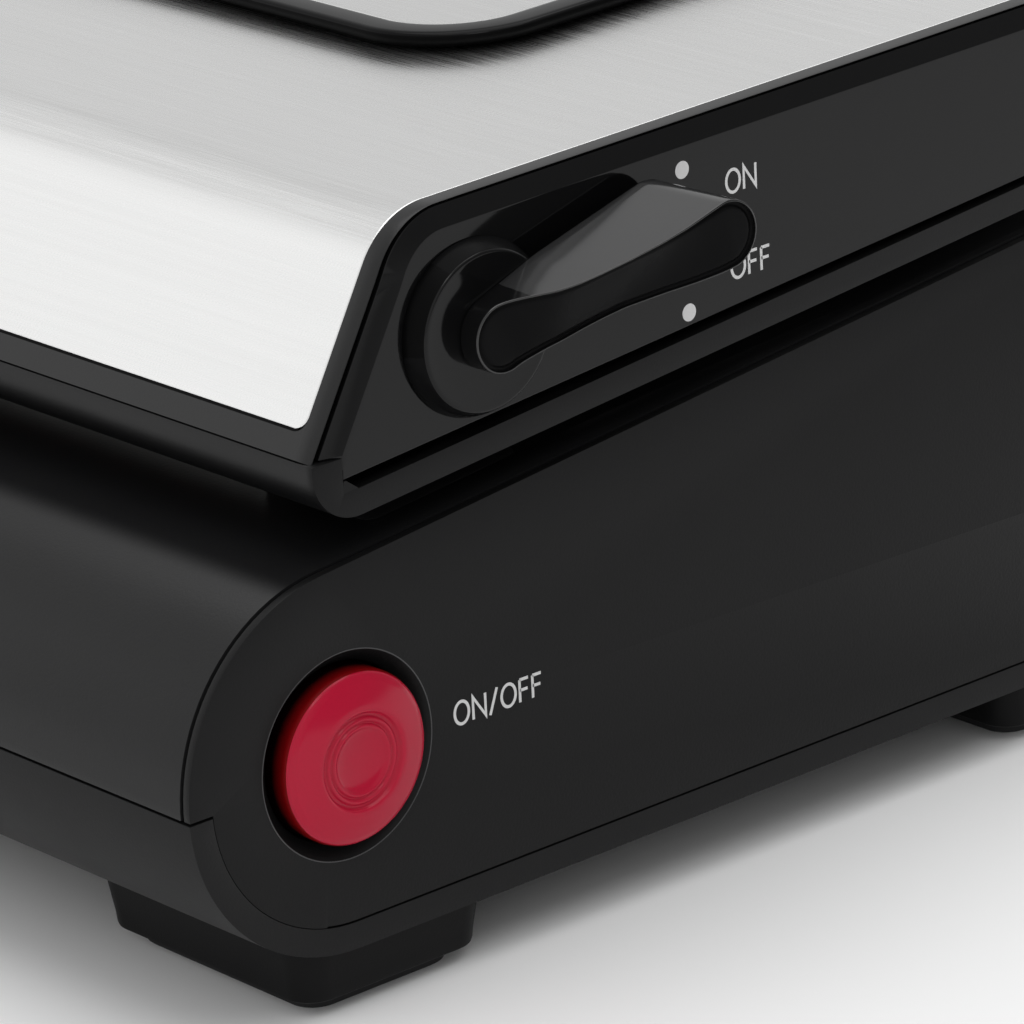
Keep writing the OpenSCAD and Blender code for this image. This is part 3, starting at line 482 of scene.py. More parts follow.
def nodes_smooth():
    """Geometry nodes group: smooth shading with edges over 34 degrees kept sharp."""
    if _sm: return _sm[0]
    g = bpy.data.node_groups.new("SmoothByAngle", "GeometryNodeTree")
    g.interface.new_socket("Geometry", in_out="INPUT", socket_type="NodeSocketGeometry")
    g.interface.new_socket("Geometry", in_out="OUTPUT", socket_type="NodeSocketGeometry")
    i, o = g.nodes.new("NodeGroupInput"), g.nodes.new("NodeGroupOutput")
    sf = g.nodes.new("GeometryNodeSetShadeSmooth"); sf.domain = "FACE"; sf.inputs["Shade Smooth"].default_value = True
    se = g.nodes.new("GeometryNodeSetShadeSmooth"); se.domain = "EDGE"
    ea = g.nodes.new("GeometryNodeInputMeshEdgeAngle"); cmp_ = g.nodes.new("FunctionNodeCompare")
    cmp_.data_type = "FLOAT"; cmp_.operation = "LESS_EQUAL"; cmp_.inputs[1].default_value = rad(34)
    g.links.new(i.outputs[0], sf.inputs["Geometry"]); g.links.new(sf.outputs[0], se.inputs["Geometry"])
    g.links.new(ea.outputs["Unsigned Angle"], cmp_.inputs[0]); g.links.new(cmp_.outputs[0], se.inputs["Shade Smooth"])
    g.links.new(se.outputs[0], o.inputs[0])
    _sm.append(g)
    return g


for n_, (m_, b_) in KEEP.items():
    dress(n_, m_, b_)

# --------------------------------------------------------------------------
# lid cover frame: strip beside the steel, front and rear bands, pocket for the sheet
S_SPLIT = LID.s_where(lambda y, z: y > 60 and z < lbot(y) + 5.5)
S_FRONT = LID.s_where(lambda y, z: z > 75.6 + 3.1)       # lower edge of the pocket for the steel
S_REAR = LID.s_where(lambda y, z: y > 84.4)              # rear edge of the steel
POCKET = 0.9
edge_r = [(3.5, 0.0), (3.0, 0.02), (2.5, 0.07), (2.05, 0.15), (1.65, 0.26), (1.35, 0.38), (1.15, 0.5), (1.05, 0.6), (1.0, 0.75)]
S_BEND = (LID.s_where(lambda y, z: y > BU[0] - 12 * math.sin(rad(FA)) - 1.5), LID.s_where(lambda y, z: y > BU[0] + 1.0))


def sloped(s):
    """1 on the front slope, 0 on the top and the rear; the rolled edge is deeper on the slope."""
    t = np.clip((np.asarray(s, float) - S_BEND[0]) / (S_BEND[1] - S_BEND[0]), 0, 1)
    return 1 - t * t * (3 - 2 * t)


def cover_section(pocket, s):
    d = POCKET if pocket else 0.0
    k = 0.16 + 0.84 * float(sloped(s)); e = edge_r[-1][1] * k
    right = [(XR - 3.52, d), (XR - 3.5, 0.0)] + [(XR - o, dd * k) for o, dd in edge_r[1:]] + [(XR - 2.3, e), (XR - 2.3, 2.4)]
    left = [(XL + 2.3, 2.4), (XL + 2.3, e)] + [(XL + o, dd * k) for o, dd in edge_r[:0:-1]] + [(XL + 3.5, 0.0), (XL + 3.52, d)]
    return left + right


ss = [s for s in LID.s if s < S_SPLIT] + [S_SPLIT]
rings = []
ss2 = sorted(set([round(float(s), 5) for s in ss] + [round(S_FRONT, 5), round(S_REAR, 5)]))
for s in ss2:
    stages = []
    if abs(s - round(S_FRONT, 5)) < 1e-6: stages = [False, True]
    elif abs(s - round(S_REAR, 5)) < 1e-6: stages = [True, False]
    else: stages = [S_FRONT < s < S_REAR]
    for st in stages:
        ring = []
        for x, d in cover_section(st, s):
            y, z = LID.at(s, d); ring.append((x, float(y), float(z)))
        rings.append(ring)
cover = loft(rings)


def sheet_corner(r, inner, xe, se, sx, sgn):
    """Filler of the square pocket corner outside a rounded sheet corner, as a thin prism on the lid outline."""
    # corner at (xe, se); sheet lies towards -sx in x and +sgn in s
    pts = [(xe, se)]
    cx, cs = xe - sx * r, se + sgn * r
    for i in range(0, 13):
        a = math.pi / 2 * i / 12
        pts.append((cx + sx * r * math.cos(a), cs - sgn * r * math.sin(a)))
    top, bot = [], []
    for x, s in pts:
        y, z = LID.at(s, 0.0); top.append((x, float(y), float(z)))
        y, z = LID.at(s, POCKET); bot.append((x, float(y), float(z)))
    n = len(pts)
    v = top + bot
    f = [tuple(range(n)), tuple(range(2 * n - 1, n - 1, -1))] + [(i, (i + 1) % n, n + (i + 1) % n, n + i) for i in range(n)]
    return v, f


CRAD = 2.1
fillers = [sheet_corner(CRAD, 0, XR - 3.5, S_FRONT, 1, 1), sheet_corner(CRAD, 0, XL + 3.5, S_FRONT, -1, 1),
           sheet_corner(CRAD, 0, XR - 3.5, S_REAR, 1, -1), sheet_corner(CRAD, 0, XL + 3.5, S_REAR, -1, -1)]
cv, cf = join_meshes([cover] + fillers)
lid_cover = make("lid_cover_moulding", cv, cf, M["lid"], "lid", ("lid_cover_frame",), angle=40)


def carve(ob, boxes, angle):
    """Cut boxes (lo, hi in millimetres) out of a piece and keep the result as its mesh."""
    vv, ff = [], []
    for (x0, y0, z0), (x1, y1, z1) in boxes:
        o = len(vv)
        vv += [(x * MM, y * MM, z * MM) for x in (x0, x1) for y in (y0, y1) for z in (z0, z1)]
        ff += [tuple(o + i for i in q) for q in ((0, 1, 3, 2), (4, 6, 7, 5), (0, 4, 5, 1), (2, 3, 7, 6), (0, 2, 6, 4), (1, 5, 7, 3))]
    cm = bpy.data.meshes.new("cutter"); cm.from_pydata(vv, [], ff)
    bm = bmesh.new(); bm.from_mesh(cm); bmesh.ops.recalc_face_normals(bm, faces=bm.faces); bm.to_mesh(cm); bm.free()
    co_ = bpy.data.objects.new("cutter", cm); bpy.context.scene.collection.objects.link(co_)
    md = ob.modifiers.new("cut", "BOOLEAN"); md.object = co_; md.operation = "DIFFERENCE"; md.solver = "EXACT"; md.use_self = True
    dg = bpy.context.evaluated_depsgraph_get(); dg.update()
    new = bpy.data.meshes.new_from_object(ob.evaluated_get(dg))
    ob.modifiers.clear(); ob.data = new
    bpy.data.objects.remove(co_); bpy.data.meshes.remove(cm)
    shade(new, angle)


# notches that clear the hinge brackets when the lid swings open
HINGE_X = (XC - 150, XC + 150)
carve(lid_cover, [((x - 6.5, 71.0, 60.0), (x + 6.5, 101.0, 99.0)) for x in HINGE_X], 40)

# --------------------------------------------------------------------------
# steel sheet with rounded corners, folded over front and top
GAP = 0.06
s0, s1 = S_FRONT + 0.40, S_REAR - GAP
rows = []
edge = [(0.0, 0.85), (0.0, 0.16), (0.05, 0.05), (0.16, 0.0)]
cr = CRAD - 0.05
srow = [s0 + cr * (1 - math.cos(rad(a))) for a in range(0, 91, 9)]
mid = [s for s in LID.s if s0 + cr + 0.4 < s < s1 - cr - 0.4]
srow_all = [s0 + e for e, d in edge[2:]] + srow[1:] + mid + [s1 - (q - s0) for q in srow[:0:-1]] + [s1 - e for e, d in edge[:1:-1]]
srow_all = sorted(set(round(float(v), 5) for v in srow_all))
grid = []


def inset_at(s):
    a = min(s - s0, s1 - s)
    if a >= cr: return 0.0
    a = max(a, 0.0)
    return cr - math.sqrt(max(cr * cr - (cr - a) ** 2, 0.0))


def steel_row(s, dmin):
    ins = inset_at(s)
    xl, xr = XL + 3.5 + GAP + ins, XR - 3.5 - GAP - ins
    near = [(xl + e, 0.0) for e in (0.3, 0.5, 0.9)]
    xs = [(xl + e, d) for e, d in edge] + near + [(xl + (xr - xl) * t, 0.0) for t in np.linspace(0.02, 0.98, 25)]
    xs += [(xr - e, 0.0) for e in (0.9, 0.5, 0.3)] + [(xr - e, d) for e, d in edge[::-1]]
    row = []
    for x, d in xs:
        y, z = LID.at(s, max(d, dmin)); row.append((x, float(y), float(z), s))
    return row


grid.append(steel_row(s0, 0.85)); grid.append(steel_row(s0, 0.16))
for s in srow_all:
    e = min(s - s0, s1 - s)
    grid.append(steel_row(s, 0.05 if e < 0.08 else 0.0))
grid.append(steel_row(s1, 0.16)); grid.append(steel_row(s1, 0.85))
K = len(grid[0])
sv = [(p[0], p[1], p[2]) for r in grid for p in r]; suv = [(p[0] * MM, p[3] * MM) for r in grid for p in r]
sf_ = [(i * K + j, i * K + j + 1, (i + 1) * K + j + 1, (i + 1) * K + j) for i in range(len(grid) - 1) for j in range(K - 1)]
# perimeter of the sheet's grid, not used further
o = len(sv)
per = [j for j in range(K)] + [i * K + K - 1 for i in range(1, len(grid))] + [(len(grid) - 1) * K + j for j in range(K - 2, -1, -1)] + [i * K for i in range(len(grid) - 2, 0, -1)]
steel = make("steel_top_sheet", sv, sf_, M["steel"], "lid", ("steel_top_plate",), angle=50, uv=suv, merge=False)
# painted shade: dark strip laid in the gap under the sheet's lower edge
jx = np.linspace(XL + 3.5 + CRAD * 0.6, XR - 3.5 - CRAD * 0.6, 12)
jv = []
for s_ in (S_FRONT - 0.01, s0 + 0.04):
    for x_ in jx:
        y_, z_ = LID.at(s_, 0.10); jv.append((x_, float(y_), float(z_)))
for s_ in (S_FRONT - 0.01, s0 + 0.04):
    for x_ in jx:
        y_, z_ = LID.at(s_, 0.5); jv.append((x_, float(y_), float(z_)))
nj = len(jx); jf = []
for i in range(nj - 1):
    jf += [(i, i + 1, nj + i + 1, nj + i), (2 * nj + i + 1, 2 * nj + i, 3 * nj + i, 3 * nj + i + 1), (i + 1, i, 2 * nj + i, 2 * nj + i + 1), (nj + i, nj + i + 1, 3 * nj + i + 1, 3 * nj + i)]
jf += [(0, nj, 3 * nj, 2 * nj), (nj - 1, 3 * nj - 1, 4 * nj - 1, 2 * nj - 1)]
make("sheet_gap_painted_shade", jv, jf, M["painted_shade"], "lid", (), angle=40)
so = steel.modifiers.new("hem", "SOLIDIFY"); so.thickness = 0.0001; so.offset = -1

# --------------------------------------------------------------------------
# glossy end panels with a chamfered border


def panel(name, xe, sign, replaces):
    """xe is the end plane, sign +1 on the right end."""
    ring_spec = [(2.6, 1.5, 0.45), (1.18, 1.5, 0.45), (1.02, 1.56, 0.5), (0.96, 1.66, 0.6), (0.12, 4.12, 3.1), (0.035, 4.3, 3.28), (0.0, 4.55, 3.5)]
    corner = (-65.12, lbot(-65.12) + 5.5 + 0.05)
    rings = []
    for k, (o, d, d_top) in enumerate(ring_spec):
        sst = LID.s; y, z = LID.at(np.linspace(0, LID.s[-1], 5000), d)
        ok = [i for i in range(len(y)) if z[i] > 75.78 and not (y[i] > 60 and z[i] < lbot(y[i]) + 5.5)]
        a, b = ok[0], ok[-1]
        sa, sb = np.linspace(0, LID.s[-1], 5000)[[a, b]]
        sref = np.concatenate([[sa], [q for q in LID.s if sa + 0.5 < q < sb - 0.5], [sb]])
        base = rings[0][1] if rings else len(sref)
        sref = np.interp(np.linspace(0, 1, 260), np.linspace(0, 1, len(sref)), sref)
        yy, zz = LID.at(sref, d_top + (d - d_top) * sloped(sref))
        pts = list(zip(yy, zz))
        end, start = pts[-1], pts[0]
        low = [(end[0] + (corner[0] - end[0]) * t, end[1] + (corner[1] - end[1]) * t) for t in np.linspace(0, 1, 40)[1:]]
        low += [(corner[0] + (start[0] - corner[0]) * t, corner[1] + (start[1] - corner[1]) * t) for t in np.linspace(0, 1, 6)[1:-1]]
        bev = {4: 0.0, 5: 0.04, 6: 0.12}.get(k, 0.0)
        loop = pts + [(p[0], p[1] + (bev if k > 3 else 0)) for p in low]
        rings.append(([(xe - sign * o, float(p[0]), float(p[1])) for p in loop], len(sref)))
    v, f = loft([r[0] for r in rings], cap=(True, True))
    return make(name, v, f, M["panel"], "lid", replaces, angle=12)


panel_r = panel("lid_end_panel_right", XR, 1, ("lid_right_end_panel",))
panel_l = panel("lid_end_panel_left", XL, -1, ("lid_left_end_panel",))

# small webs that close the lid parting slot at its two front corners
def slot_end(name, xe, sign):
    pts = [(-65.3, lbot(-65.3) + 3.5), (-62.7, lbot(-62.7) + 3.6), (-64.7, lbot(-64.7) + 5.3), (-65.1, lbot(-65.1) + 5.3)]
    rings_ = [[(xe - sign * o, y, z) for y, z in pts] for o in (2.2, 0.02)]
    v_, f_ = loft(rings_)
    return make(name, v_, f_, M["lid_low"], "lid", (), angle=30)


slot_end("lid_slot_end_right", XR, 1); slot_end("lid_slot_end_left", XL, -1)

# --------------------------------------------------------------------------
# red start button
r_ = 11.7
crown = lambda q: 4.04 - q * q / 59.2      # the face is domed
prof = [(-9, r_ - 0.02), (0.2, r_)] + [(0.74 + 1.3 * math.sin(rad(a)), r_ - 1.3 + 1.3 * math.cos(rad(a))) for a in range(0, 70, 6)]
prof += [(crown(q), q) for q in (10.6, 10.3, 10.0, 9.4, 8.8, 8.2, 7.6, 7.1)]
prof += [(3.19, 6.85), (3.15, 6.68), (3.05, 6.55), (2.9, 6.46), (2.74, 6.36), (2.64, 6.22), (2.60, 6.02), (2.64, 5.88), (2.78, 5.78), (2.92, 5.66),
         (2.95, 5.5), (2.92, 5.34), (2.80, 5.22), (2.66, 5.12), (2.61, 5.0), (2.66, 4.9), (2.80, 4.8), (2.91, 4.7), (2.93, 4.58), (2.9, 4.44), (2.8, 4.3),
         (2.66, 4.15), (2.53, 3.9), (2.4, 3.5), (2.26, 2.9), (2.14, 2.1), (2.07, 1.2), (2.05, 0.0)]
v, f = lathe(prof, BTN, XR, 160)
button = make("start_button_cap", v, f, M["red"], "button", (), angle=50)
button.data.materials.append(M["red_side"])
# side wall and shoulder faces take the darker red copy: painted shade
for p_ in button.data.polygons:
    if abs(p_.normal.x) < 0.62 and math.hypot(p_.center.y / MM - BTN[0], p_.center.z / MM - BTN[1]) > 10: p_.material_index = 1
v2, f2 = lathe([(-17.7, 0), (-17.7, 3.0), (-6.5, 3.0), (-6.5, r_ - 1.6), (-9, r_ - 1.6), (-9, r_ - 0.02)], BTN, XR, 64)
# painted highlight: fine lighter lip where the conical recess meets the end face
lip = plastic("recess_lip_painted_highlight", (0.026, 0.026, 0.027), 0.3, grain=0.2, spec=0.5)
v3, f3 = lathe([(-0.05, 13.98), (0.0, 13.97), (0.022, 14.02), (0.022, 14.10), (0.0, 14.14), (-0.05, 14.14), (-0.05, 13.98)], BTN, XR, 160)
make("button_recess_lip_painted_highlight", v3, f3, lip, "base", (), angle=60)
stem = make("start_button_stem", v2, f2, M["red"], "button", ("start_button",), angle=40)

# --------------------------------------------------------------------------
# latch lever: dished hub flange and a wedge-shaped arm
fl = [(0.06, 0.0), (0.06, 11.8), (0.25, 11.82), (0.9, 11.62), (1.6, 11.32), (2.2, 11.02), (2.62, 10.8), (2.86, 10.66), (3.0, 10.52), (3.07, 10.36), (3.08, 10.15),
      (3.05, 9.8), (3.0, 8.5), (2.97, 6.0), (2.96, 0.0)]
v, f = lathe(fl, HUB, XR, 144)
LA = rad(16.8)
ARM_R = 4.7


def curve(tab):
    xs, ys = zip(*tab); sx = np.linspace(-9, 39, 320); yv = np.interp(sx, xs, ys)
    ker = np.hanning(19); ker /= ker.sum()
    yv = np.convolve(np.pad(yv, 9, mode="edge"), ker, mode="valid")
    return lambda s: float(np.interp(s, sx, yv))


# the outer face is ruled between an upper and a lower edge, so it turns from facing down at the hub to facing out at the tip
x_up = curve([(-6, 6.3), (-2.6, 6.5), (-0.6, 6.7), (0.8, 7.2), (2.4, 8.4), (4.3, 10.2), (6.2, 12.1), (8.4, 13.4), (11, 14.4), (15.4, 15.8), (20, 16.85), (24, 17.35), (30, 17.4), (36, 17.35)])
x_low = curve([(-6, 6.3), (-2, 6.2), (1.3, 6.15), (4.2, 6.9), (7.1, 7.7), (10.4, 8.3), (13.4, 9.05), (16.3, 10.0), (21.2, 12.75), (24.7, 15.0), (28, 16.7), (30.2, 17.3), (36, 17.35)])
dome = curve([(-6, 0.0), (20, 0.0), (30, 0.2), (36, 0.2)])
w_in = curve([(-6, 5.0), (0, 5.0), (3, 5.2), (10, 5.7), (30, 5.3), (36, 5.3)])
w_out = curve([(-6, 5.0), (0.5, 4.95), (5, 4.7), (36, 4.7)])
S_A, S_B = 0.1, 30.0


def face_x(s, h):
    t = min(max((h + ARM_R) / (2 * ARM_R), 0.0), 1.0)
    return x_low(s) + (x_up(s) - x_low(s)) * t ** 1.25 + dome(s) * (1 - min(1.0, (h / ARM_R) ** 2))


def arm_loop(t, d, n=40, nl=44):
    """Outline of the arm in (s, h): t 0 at the panel side, 1 at the outer side; d moves it inwards."""
    hw = lambda s: max(w_in(s) * (1 - t) + w_out(s) * t - d, 0.02)
    sb = S_B - 1.4 * (1 - t); rt = hw(sb); rr_ = hw(S_A)
    pts = [(sb + rt * math.cos(-math.pi / 2 + math.pi * i / n), rt * math.sin(-math.pi / 2 + math.pi * i / n)) for i in range(n + 1)]
    for i in range(1, nl):
        s = sb + (S_A - sb) * i / nl; pts.append((s, hw(s)))
    pts += [(S_A + rr_ * math.cos(math.pi / 2 + math.pi * i / n), rr_ * math.sin(math.pi / 2 + math.pi * i / n)) for i in range(n + 1)]
    for i in range(1, nl):
        s = S_A + (sb - S_A) * i / nl; pts.append((s, -hw(s)))
    return pts


def arm_world(s, h, x):
    return (XR + x, HUB[0] + s * math.cos(LA) - h * math.sin(LA), HUB[1] + s * math.sin(LA) + h * math.cos(LA))


def xin(s): return 2.9


rings = []
RF = 0.2
for d, add in [(4.2, 0.0), (2.4, 0.0), (0.5, 0.0), (0.14, 0.12), (0.0, 0.5)]:
    rings.append([arm_world(s, h, xin(s) + add) for s, h in arm_loop(0.0, d)])
for t_ in (0.1, 0.25, 0.4, 0.55, 0.7, 0.85, 0.95):
    loop = arm_loop(t_, 0.0)
    rings.append([arm_world(s, h, (xin(s) + 0.5) * (1 - t_) + (face_x(s, h) - RF) * t_) for s, h in loop])
for a in range(0, 91, 15):
    rings.append([arm_world(s, h, face_x(s, h) - RF * (1 - math.sin(rad(a)))) for s, h in arm_loop(1.0, RF * (1 - math.cos(rad(a))))])
for d, sink in ((0.23, 0.0), (0.27, 0.03), (0.33, 0.28), (0.42, 0.52), (0.6, 0.6), (0.8, 0.58), (0.98, 0.46), (1.12, 0.37), (1.4, 0.34), (1.9, 0.34), (2.4, 0.34), (3.0, 0.34), (3.6, 0.34), (4.1, 0.34), (4.42, 0.34)):
    rings.append([arm_world(s, h, face_x(s, h) - sink) for s, h in arm_loop(1.0, d)])
av, af = loft(rings, cap=(False, False))
base_st = rings[0]
nring = len(base_st); last = (len(rings) - 1) * nring
# bridge the last thin loop and the first one
def bridge(off, flip):
    out = []
    n = nring
    # loop: right arc 0..40, top line 41..65, left arc, bottom line ; mirror index about the long axis
    mirror = lambda i: (40 - i) % n
    for i in range(40 // 2, 40 // 2 + n // 2):
        a, b = i % n, (i + 1) % n
        c, d = mirror(i + 1) % n, mirror(i) % n
        q = [off + a, off + b, off + c, off + d]
        g = []
        for w in q:
            if w not in g: g.append(w)
        if len(g) > 2: out.append(tuple(g[::-1] if flip else g))
    return out


af += bridge(last, False) + bridge(0, True)
lv, lf = join_meshes([(v, f), (av, af)])
lever = make("latch_lever", lv, lf, M["lever"], "latch", ("lever",), angle=38)
for m_ in ("lever_face_painted_shade", "painted_shade", "lever_disc", "lever_top_painted_light"): lever.data.materials.append(M[m_])
for p_ in lever.data.polygons:
    y_, z_, x_ = p_.center.y / MM - HUB[0], p_.center.z / MM - HUB[1], p_.center.x / MM - XR
    s_, h_ = y_ * math.cos(LA) + z_ * math.sin(LA), -y_ * math.sin(LA) + z_ * math.cos(LA)
    sink_ = face_x(s_, h_) - x_
    # outer face takes the dull painted-shade copy; its sunk groove takes the near-black painted shade as a dark line
    if x_ > 5.0 and p_.normal.x > 0.3 and abs(h_) < 4.5 and s_ < 34.4 and sink_ > 0.2: p_.material_index = 2 if sink_ > 0.42 and h_ > -1.0 else 1
    # upward faces of the arm take the lighter copy: painted light
    elif x_ > 3.3 and s_ > 3.5 and h_ > 2.5 and p_.normal.z > 0.4 and sink_ > 0.15: p_.material_index = 4
    # flange: the face takes the dimmer painted-shade copy, the front-left side wall the near-black painted shade
    elif x_ < 3.2 and math.hypot(y_, z_) < 12:
        if p_.normal.x > 0.8: p_.material_index = 3
        elif y_ < 0 and x_ < 2.8 and -0.1 < p_.normal.z / max(math.hypot(p_.normal.y, p_.normal.z), 1e-6) < 0.84: p_.material_index = 2
        else: p_.material_index = 3 if x_ > 2.8 else 1

# --------------------------------------------------------------------------
# feet: tapered moulded blocks and rubber pads


def rrect(w, d, r, n=10):
    pts = []
    for cx, cy, a0 in ((w / 2 - r, d / 2 - r, 0), (-w / 2 + r, d / 2 - r, 90), (-w / 2 + r, -d / 2 + r, 180), (w / 2 - r, -d / 2 + r, 270)):
        for i in range(n + 1):
            a = rad(a0 + 90 * i / n); pts.append((cx + r * math.cos(a), cy + r * math.sin(a)))
    return pts


feet_v, feet_f, pads_v, pads_f = [], [], [], []
blocks, pads = [], []
for mx in (XR - 23.3, XL + 23.3):
    for my in (-59.1, 69.0):
        rings = []
        for z, w, d, r in [(2.25, 39.6, 28.0, 3.6), (2.25, 41.4, 29.6, 4.0), (2.45, 42.0, 30.2, 4.2), (2.9, 42.3, 30.5, 4.3), (4.2, 42.5, 30.7, 4.3), (9.25, 44.0, 32.2, 4.6), (11.2, 44.3, 32.4, 4.6)]:
            rings.append([(mx + x, my + y, min(z, 11.2)) for x, y in rrect(w, d, r)])
        blocks.append(loft(rings))
        rings = []
        for z, w, d, r in [(0.0, 34.6, 23.0, 3.2), (0.0, 35.9, 24.3, 3.7), (0.25, 36.5, 24.9, 3.9), (0.7, 36.7, 25.1, 4.0), (2.25, 36.7, 25.1, 4.0)]:
            rings.append([(mx + x, my + y, z) for x, y in rrect(w, d, r)])
        pads.append(loft(rings))
v, f = join_meshes(blocks); make("foot_blocks_moulded", v, f, M["foot"], "base", ("foot_blocks",), angle=35)
v, f = join_meshes(pads); make("foot_pads_rubber", v, f, M["pad"], "base", ("foot_pads",), angle=35)

# --------------------------------------------------------------------------
# scale platform
PW, PD, PR = 180.0, 86.0, 17.0
PY = -8.3 + PD / 2
lo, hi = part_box("scale_platform"); PX = (lo.x + hi.x) * 500


def top_pt(x0, y0, x, y, z):
    """Local point on the lid top frame at (x0, y0)."""
    c, s = math.cos(rad(TS)), math.sin(rad(TS))
    return (x0 + x, y0 + y * c - z * s, ltop(y0) + y * s + z * c)


def plat_rings(spec, n=24):
    return [[top_pt(PX, PY, x, y, z) for x, y in rrect(PW - 2 * i, PD - 2 * i, max(PR - i, 0.5), n)] for i, z in spec]


spec = [(3.0, 0.36), (1.5, 0.36), (1.1, 0.44), (0.7, 0.75), (0.35, 1.15), (0.1, 1.55), (0.0, 1.85), (0.0, 2.0), (0.08, 2.28), (0.3, 2.54), (0.65, 2.69), (1.1, 2.74), (3.9, 2.74), (4.3, 2.7), (4.55, 2.58), (4.65, 2.35), (4.65, 1.78)]
v, f = loft(plat_rings(spec), cap=(True, True))
rim = make("scale_platform_rim", v, f, M["platform"], "platform", ("scale_platform",), angle=40)
rim.data.materials.append(M["painted_shade"])
# the rim's side wall takes the near-black painted shade
for p_ in rim.data.polygons:
    if p_.normal.z < 0.35: p_.material_index = 1
spec = [(4.75, 1.96), (4.75, 2.36), (4.85, 2.52), (5.1, 2.6), (5.6, 2.6), (5.85, 2.54), (6.0, 2.41), (6.25, 2.37), (6.6, 2.37)]
v, f = loft(plat_rings(spec), cap=(True, True))
make("scale_platform_inlay", v, f, M["steel_plate"], "platform", ("platform_plate",), angle=40)

# --------------------------------------------------------------------------
# display window and keys
v, f = [], []


def top_rings(x0, y0, w, d, r, spec, n=10):
    return [[top_pt(x0, y0, x, y, z) for x, y in rrect(w - 2 * i, d - 2 * i, max(r - i, 0.3), n)] for i, z in spec]


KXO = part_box("power_key"); KX0 = (KXO[0].x + KXO[1].x) * 500
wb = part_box("display_window"); WX = (wb[0].x + wb[1].x) * 500
v, f = loft(top_rings(WX, -22, 62, 24, 3.2, [(0, -0.3), (0, 0.1), (0.12, 0.28), (0.4, 0.36), (2.0, 0.36), (2.15, 0.3), (2.2, 0.15)]))
make("display_bezel", v, f, M["platform"], "lid", (), angle=40)
v, f = loft(top_rings(WX, -22, 57.4, 19.4, 1.6, [(0, 0.12), (0.05, 0.3), (0.3, 0.34), (1.0, 0.34)]))
make("display_glass", v, f, M["window"], "lid", ("display_window",), angle=40)
keys = []
for k, nm in enumerate(("power_key", "tare_key", "unit_key")):
    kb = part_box(nm); kx = (kb[0].x + kb[1].x) * 500
    def disc(prof, n=64):
        rings_ = [[top_pt(kx, 12, r * math.cos(2 * math.pi * i / n), r * math.sin(2 * math.pi * i / n), z) for i in range(n)] for r, z in prof]
        return loft(rings_)
    v, f = disc([(4.9, -1.7), (5.0, 0.3), (4.9, 0.6), (4.6, 0.76), (4.2, 0.8), (3.0, 0.74), (1.5, 0.68), (0.3, 0.66)])
    make(nm + "_cap", v, f, M["key"], nm, (nm,), angle=40)
    v, f = disc([(5.15, -0.5), (5.15, 0.2), (5.3, 0.34), (5.9, 0.34), (6.1, 0.22), (6.15, -0.5)])
    # ring collar: drop the caps
    f = f[:-2]
    make(nm + "_collar", v, f, M["platform"], "lid", (), angle=40)
    keys.append(kx)

# --------------------------------------------------------------------------
# printed marks: dots, ON / OFF, key symbols, digits in the display


def ribbon(points, w, closed=False):
    """Flat stroke in 2D as a polygon list (x, y), one quad per segment."""
    polys = []
    n = len(points)
    for i in range(n - (0 if closed else 1)):
        a, b = np.array(points[i], float), np.array(points[(i + 1) % n], float)
        t = b - a; L = np.linalg.norm(t)
        if L < 1e-6: continue
        t /= L; nn = np.array([-t[1], t[0]]) * w / 2
        polys.append([a - nn, b - nn, b + nn, a + nn])
    return polys


def stroke(points, w, closed=False):
    """One outline polygon of a polyline stroke, mitred."""
    pts = [np.array(p, float) for p in points]; n = len(pts)
    L, R = [], []
    for i in range(n):
        if closed: a, b = pts[(i - 1) % n], pts[(i + 1) % n]
        else: a, b = pts[max(i - 1, 0)], pts[min(i + 1, n - 1)]
        t1 = pts[i] - a if (closed or i > 0) else b - pts[i]
        t2 = b - pts[i] if (closed or i < n - 1) else pts[i] - a
        t1 = t1 / np.linalg.norm(t1); t2 = t2 / np.linalg.norm(t2)
        m = np.array([-(t1 + t2)[1], (t1 + t2)[0]]); m /= np.linalg.norm(m)
        k = max(0.35, float(m @ np.array([-t1[1], t1[0]])))
        L.append(pts[i] + m * w / 2 / k); R.append(pts[i] - m * w / 2 / k)
    v = L + R; f = []
    for i in range(n if closed else n - 1):
        j = (i + 1) % n
        f.append((i, j, n + j, n + i))
    return v, f


def glyph(ch, h, w=None):
    """Strokes of simple generic characters, height h; returns (list of (points, closed), width)."""
    if ch == "O" or ch == "0":
        ww = h * (0.78 if ch == "O" else 0.58)
        return [([(ww / 2 + ww / 2 * math.cos(t), h / 2 + h / 2 * math.sin(t)) for t in np.linspace(0, 2 * math.pi, 29)[:-1]], True)], ww
    if ch == "N": ww = h * 0.68; return [([(0, 0), (0, h), (ww, 0), (ww, h)], False)], ww
    if ch == "F": ww = h * 0.48; return [([(0, 0), (0, h)], False), ([(0, h), (ww, h)], False), ([(0, h * 0.53), (ww * 0.9, h * 0.53)], False)], ww
    if ch == "/": ww = h * 0.42; return [([(0, -0.08 * h), (ww, h * 1.05)], False)], ww
    if ch == "1": ww = h * 0.3; return [([(0, h * 0.78), (ww, h), (ww, 0)], False)], ww
    return [], h * 0.4


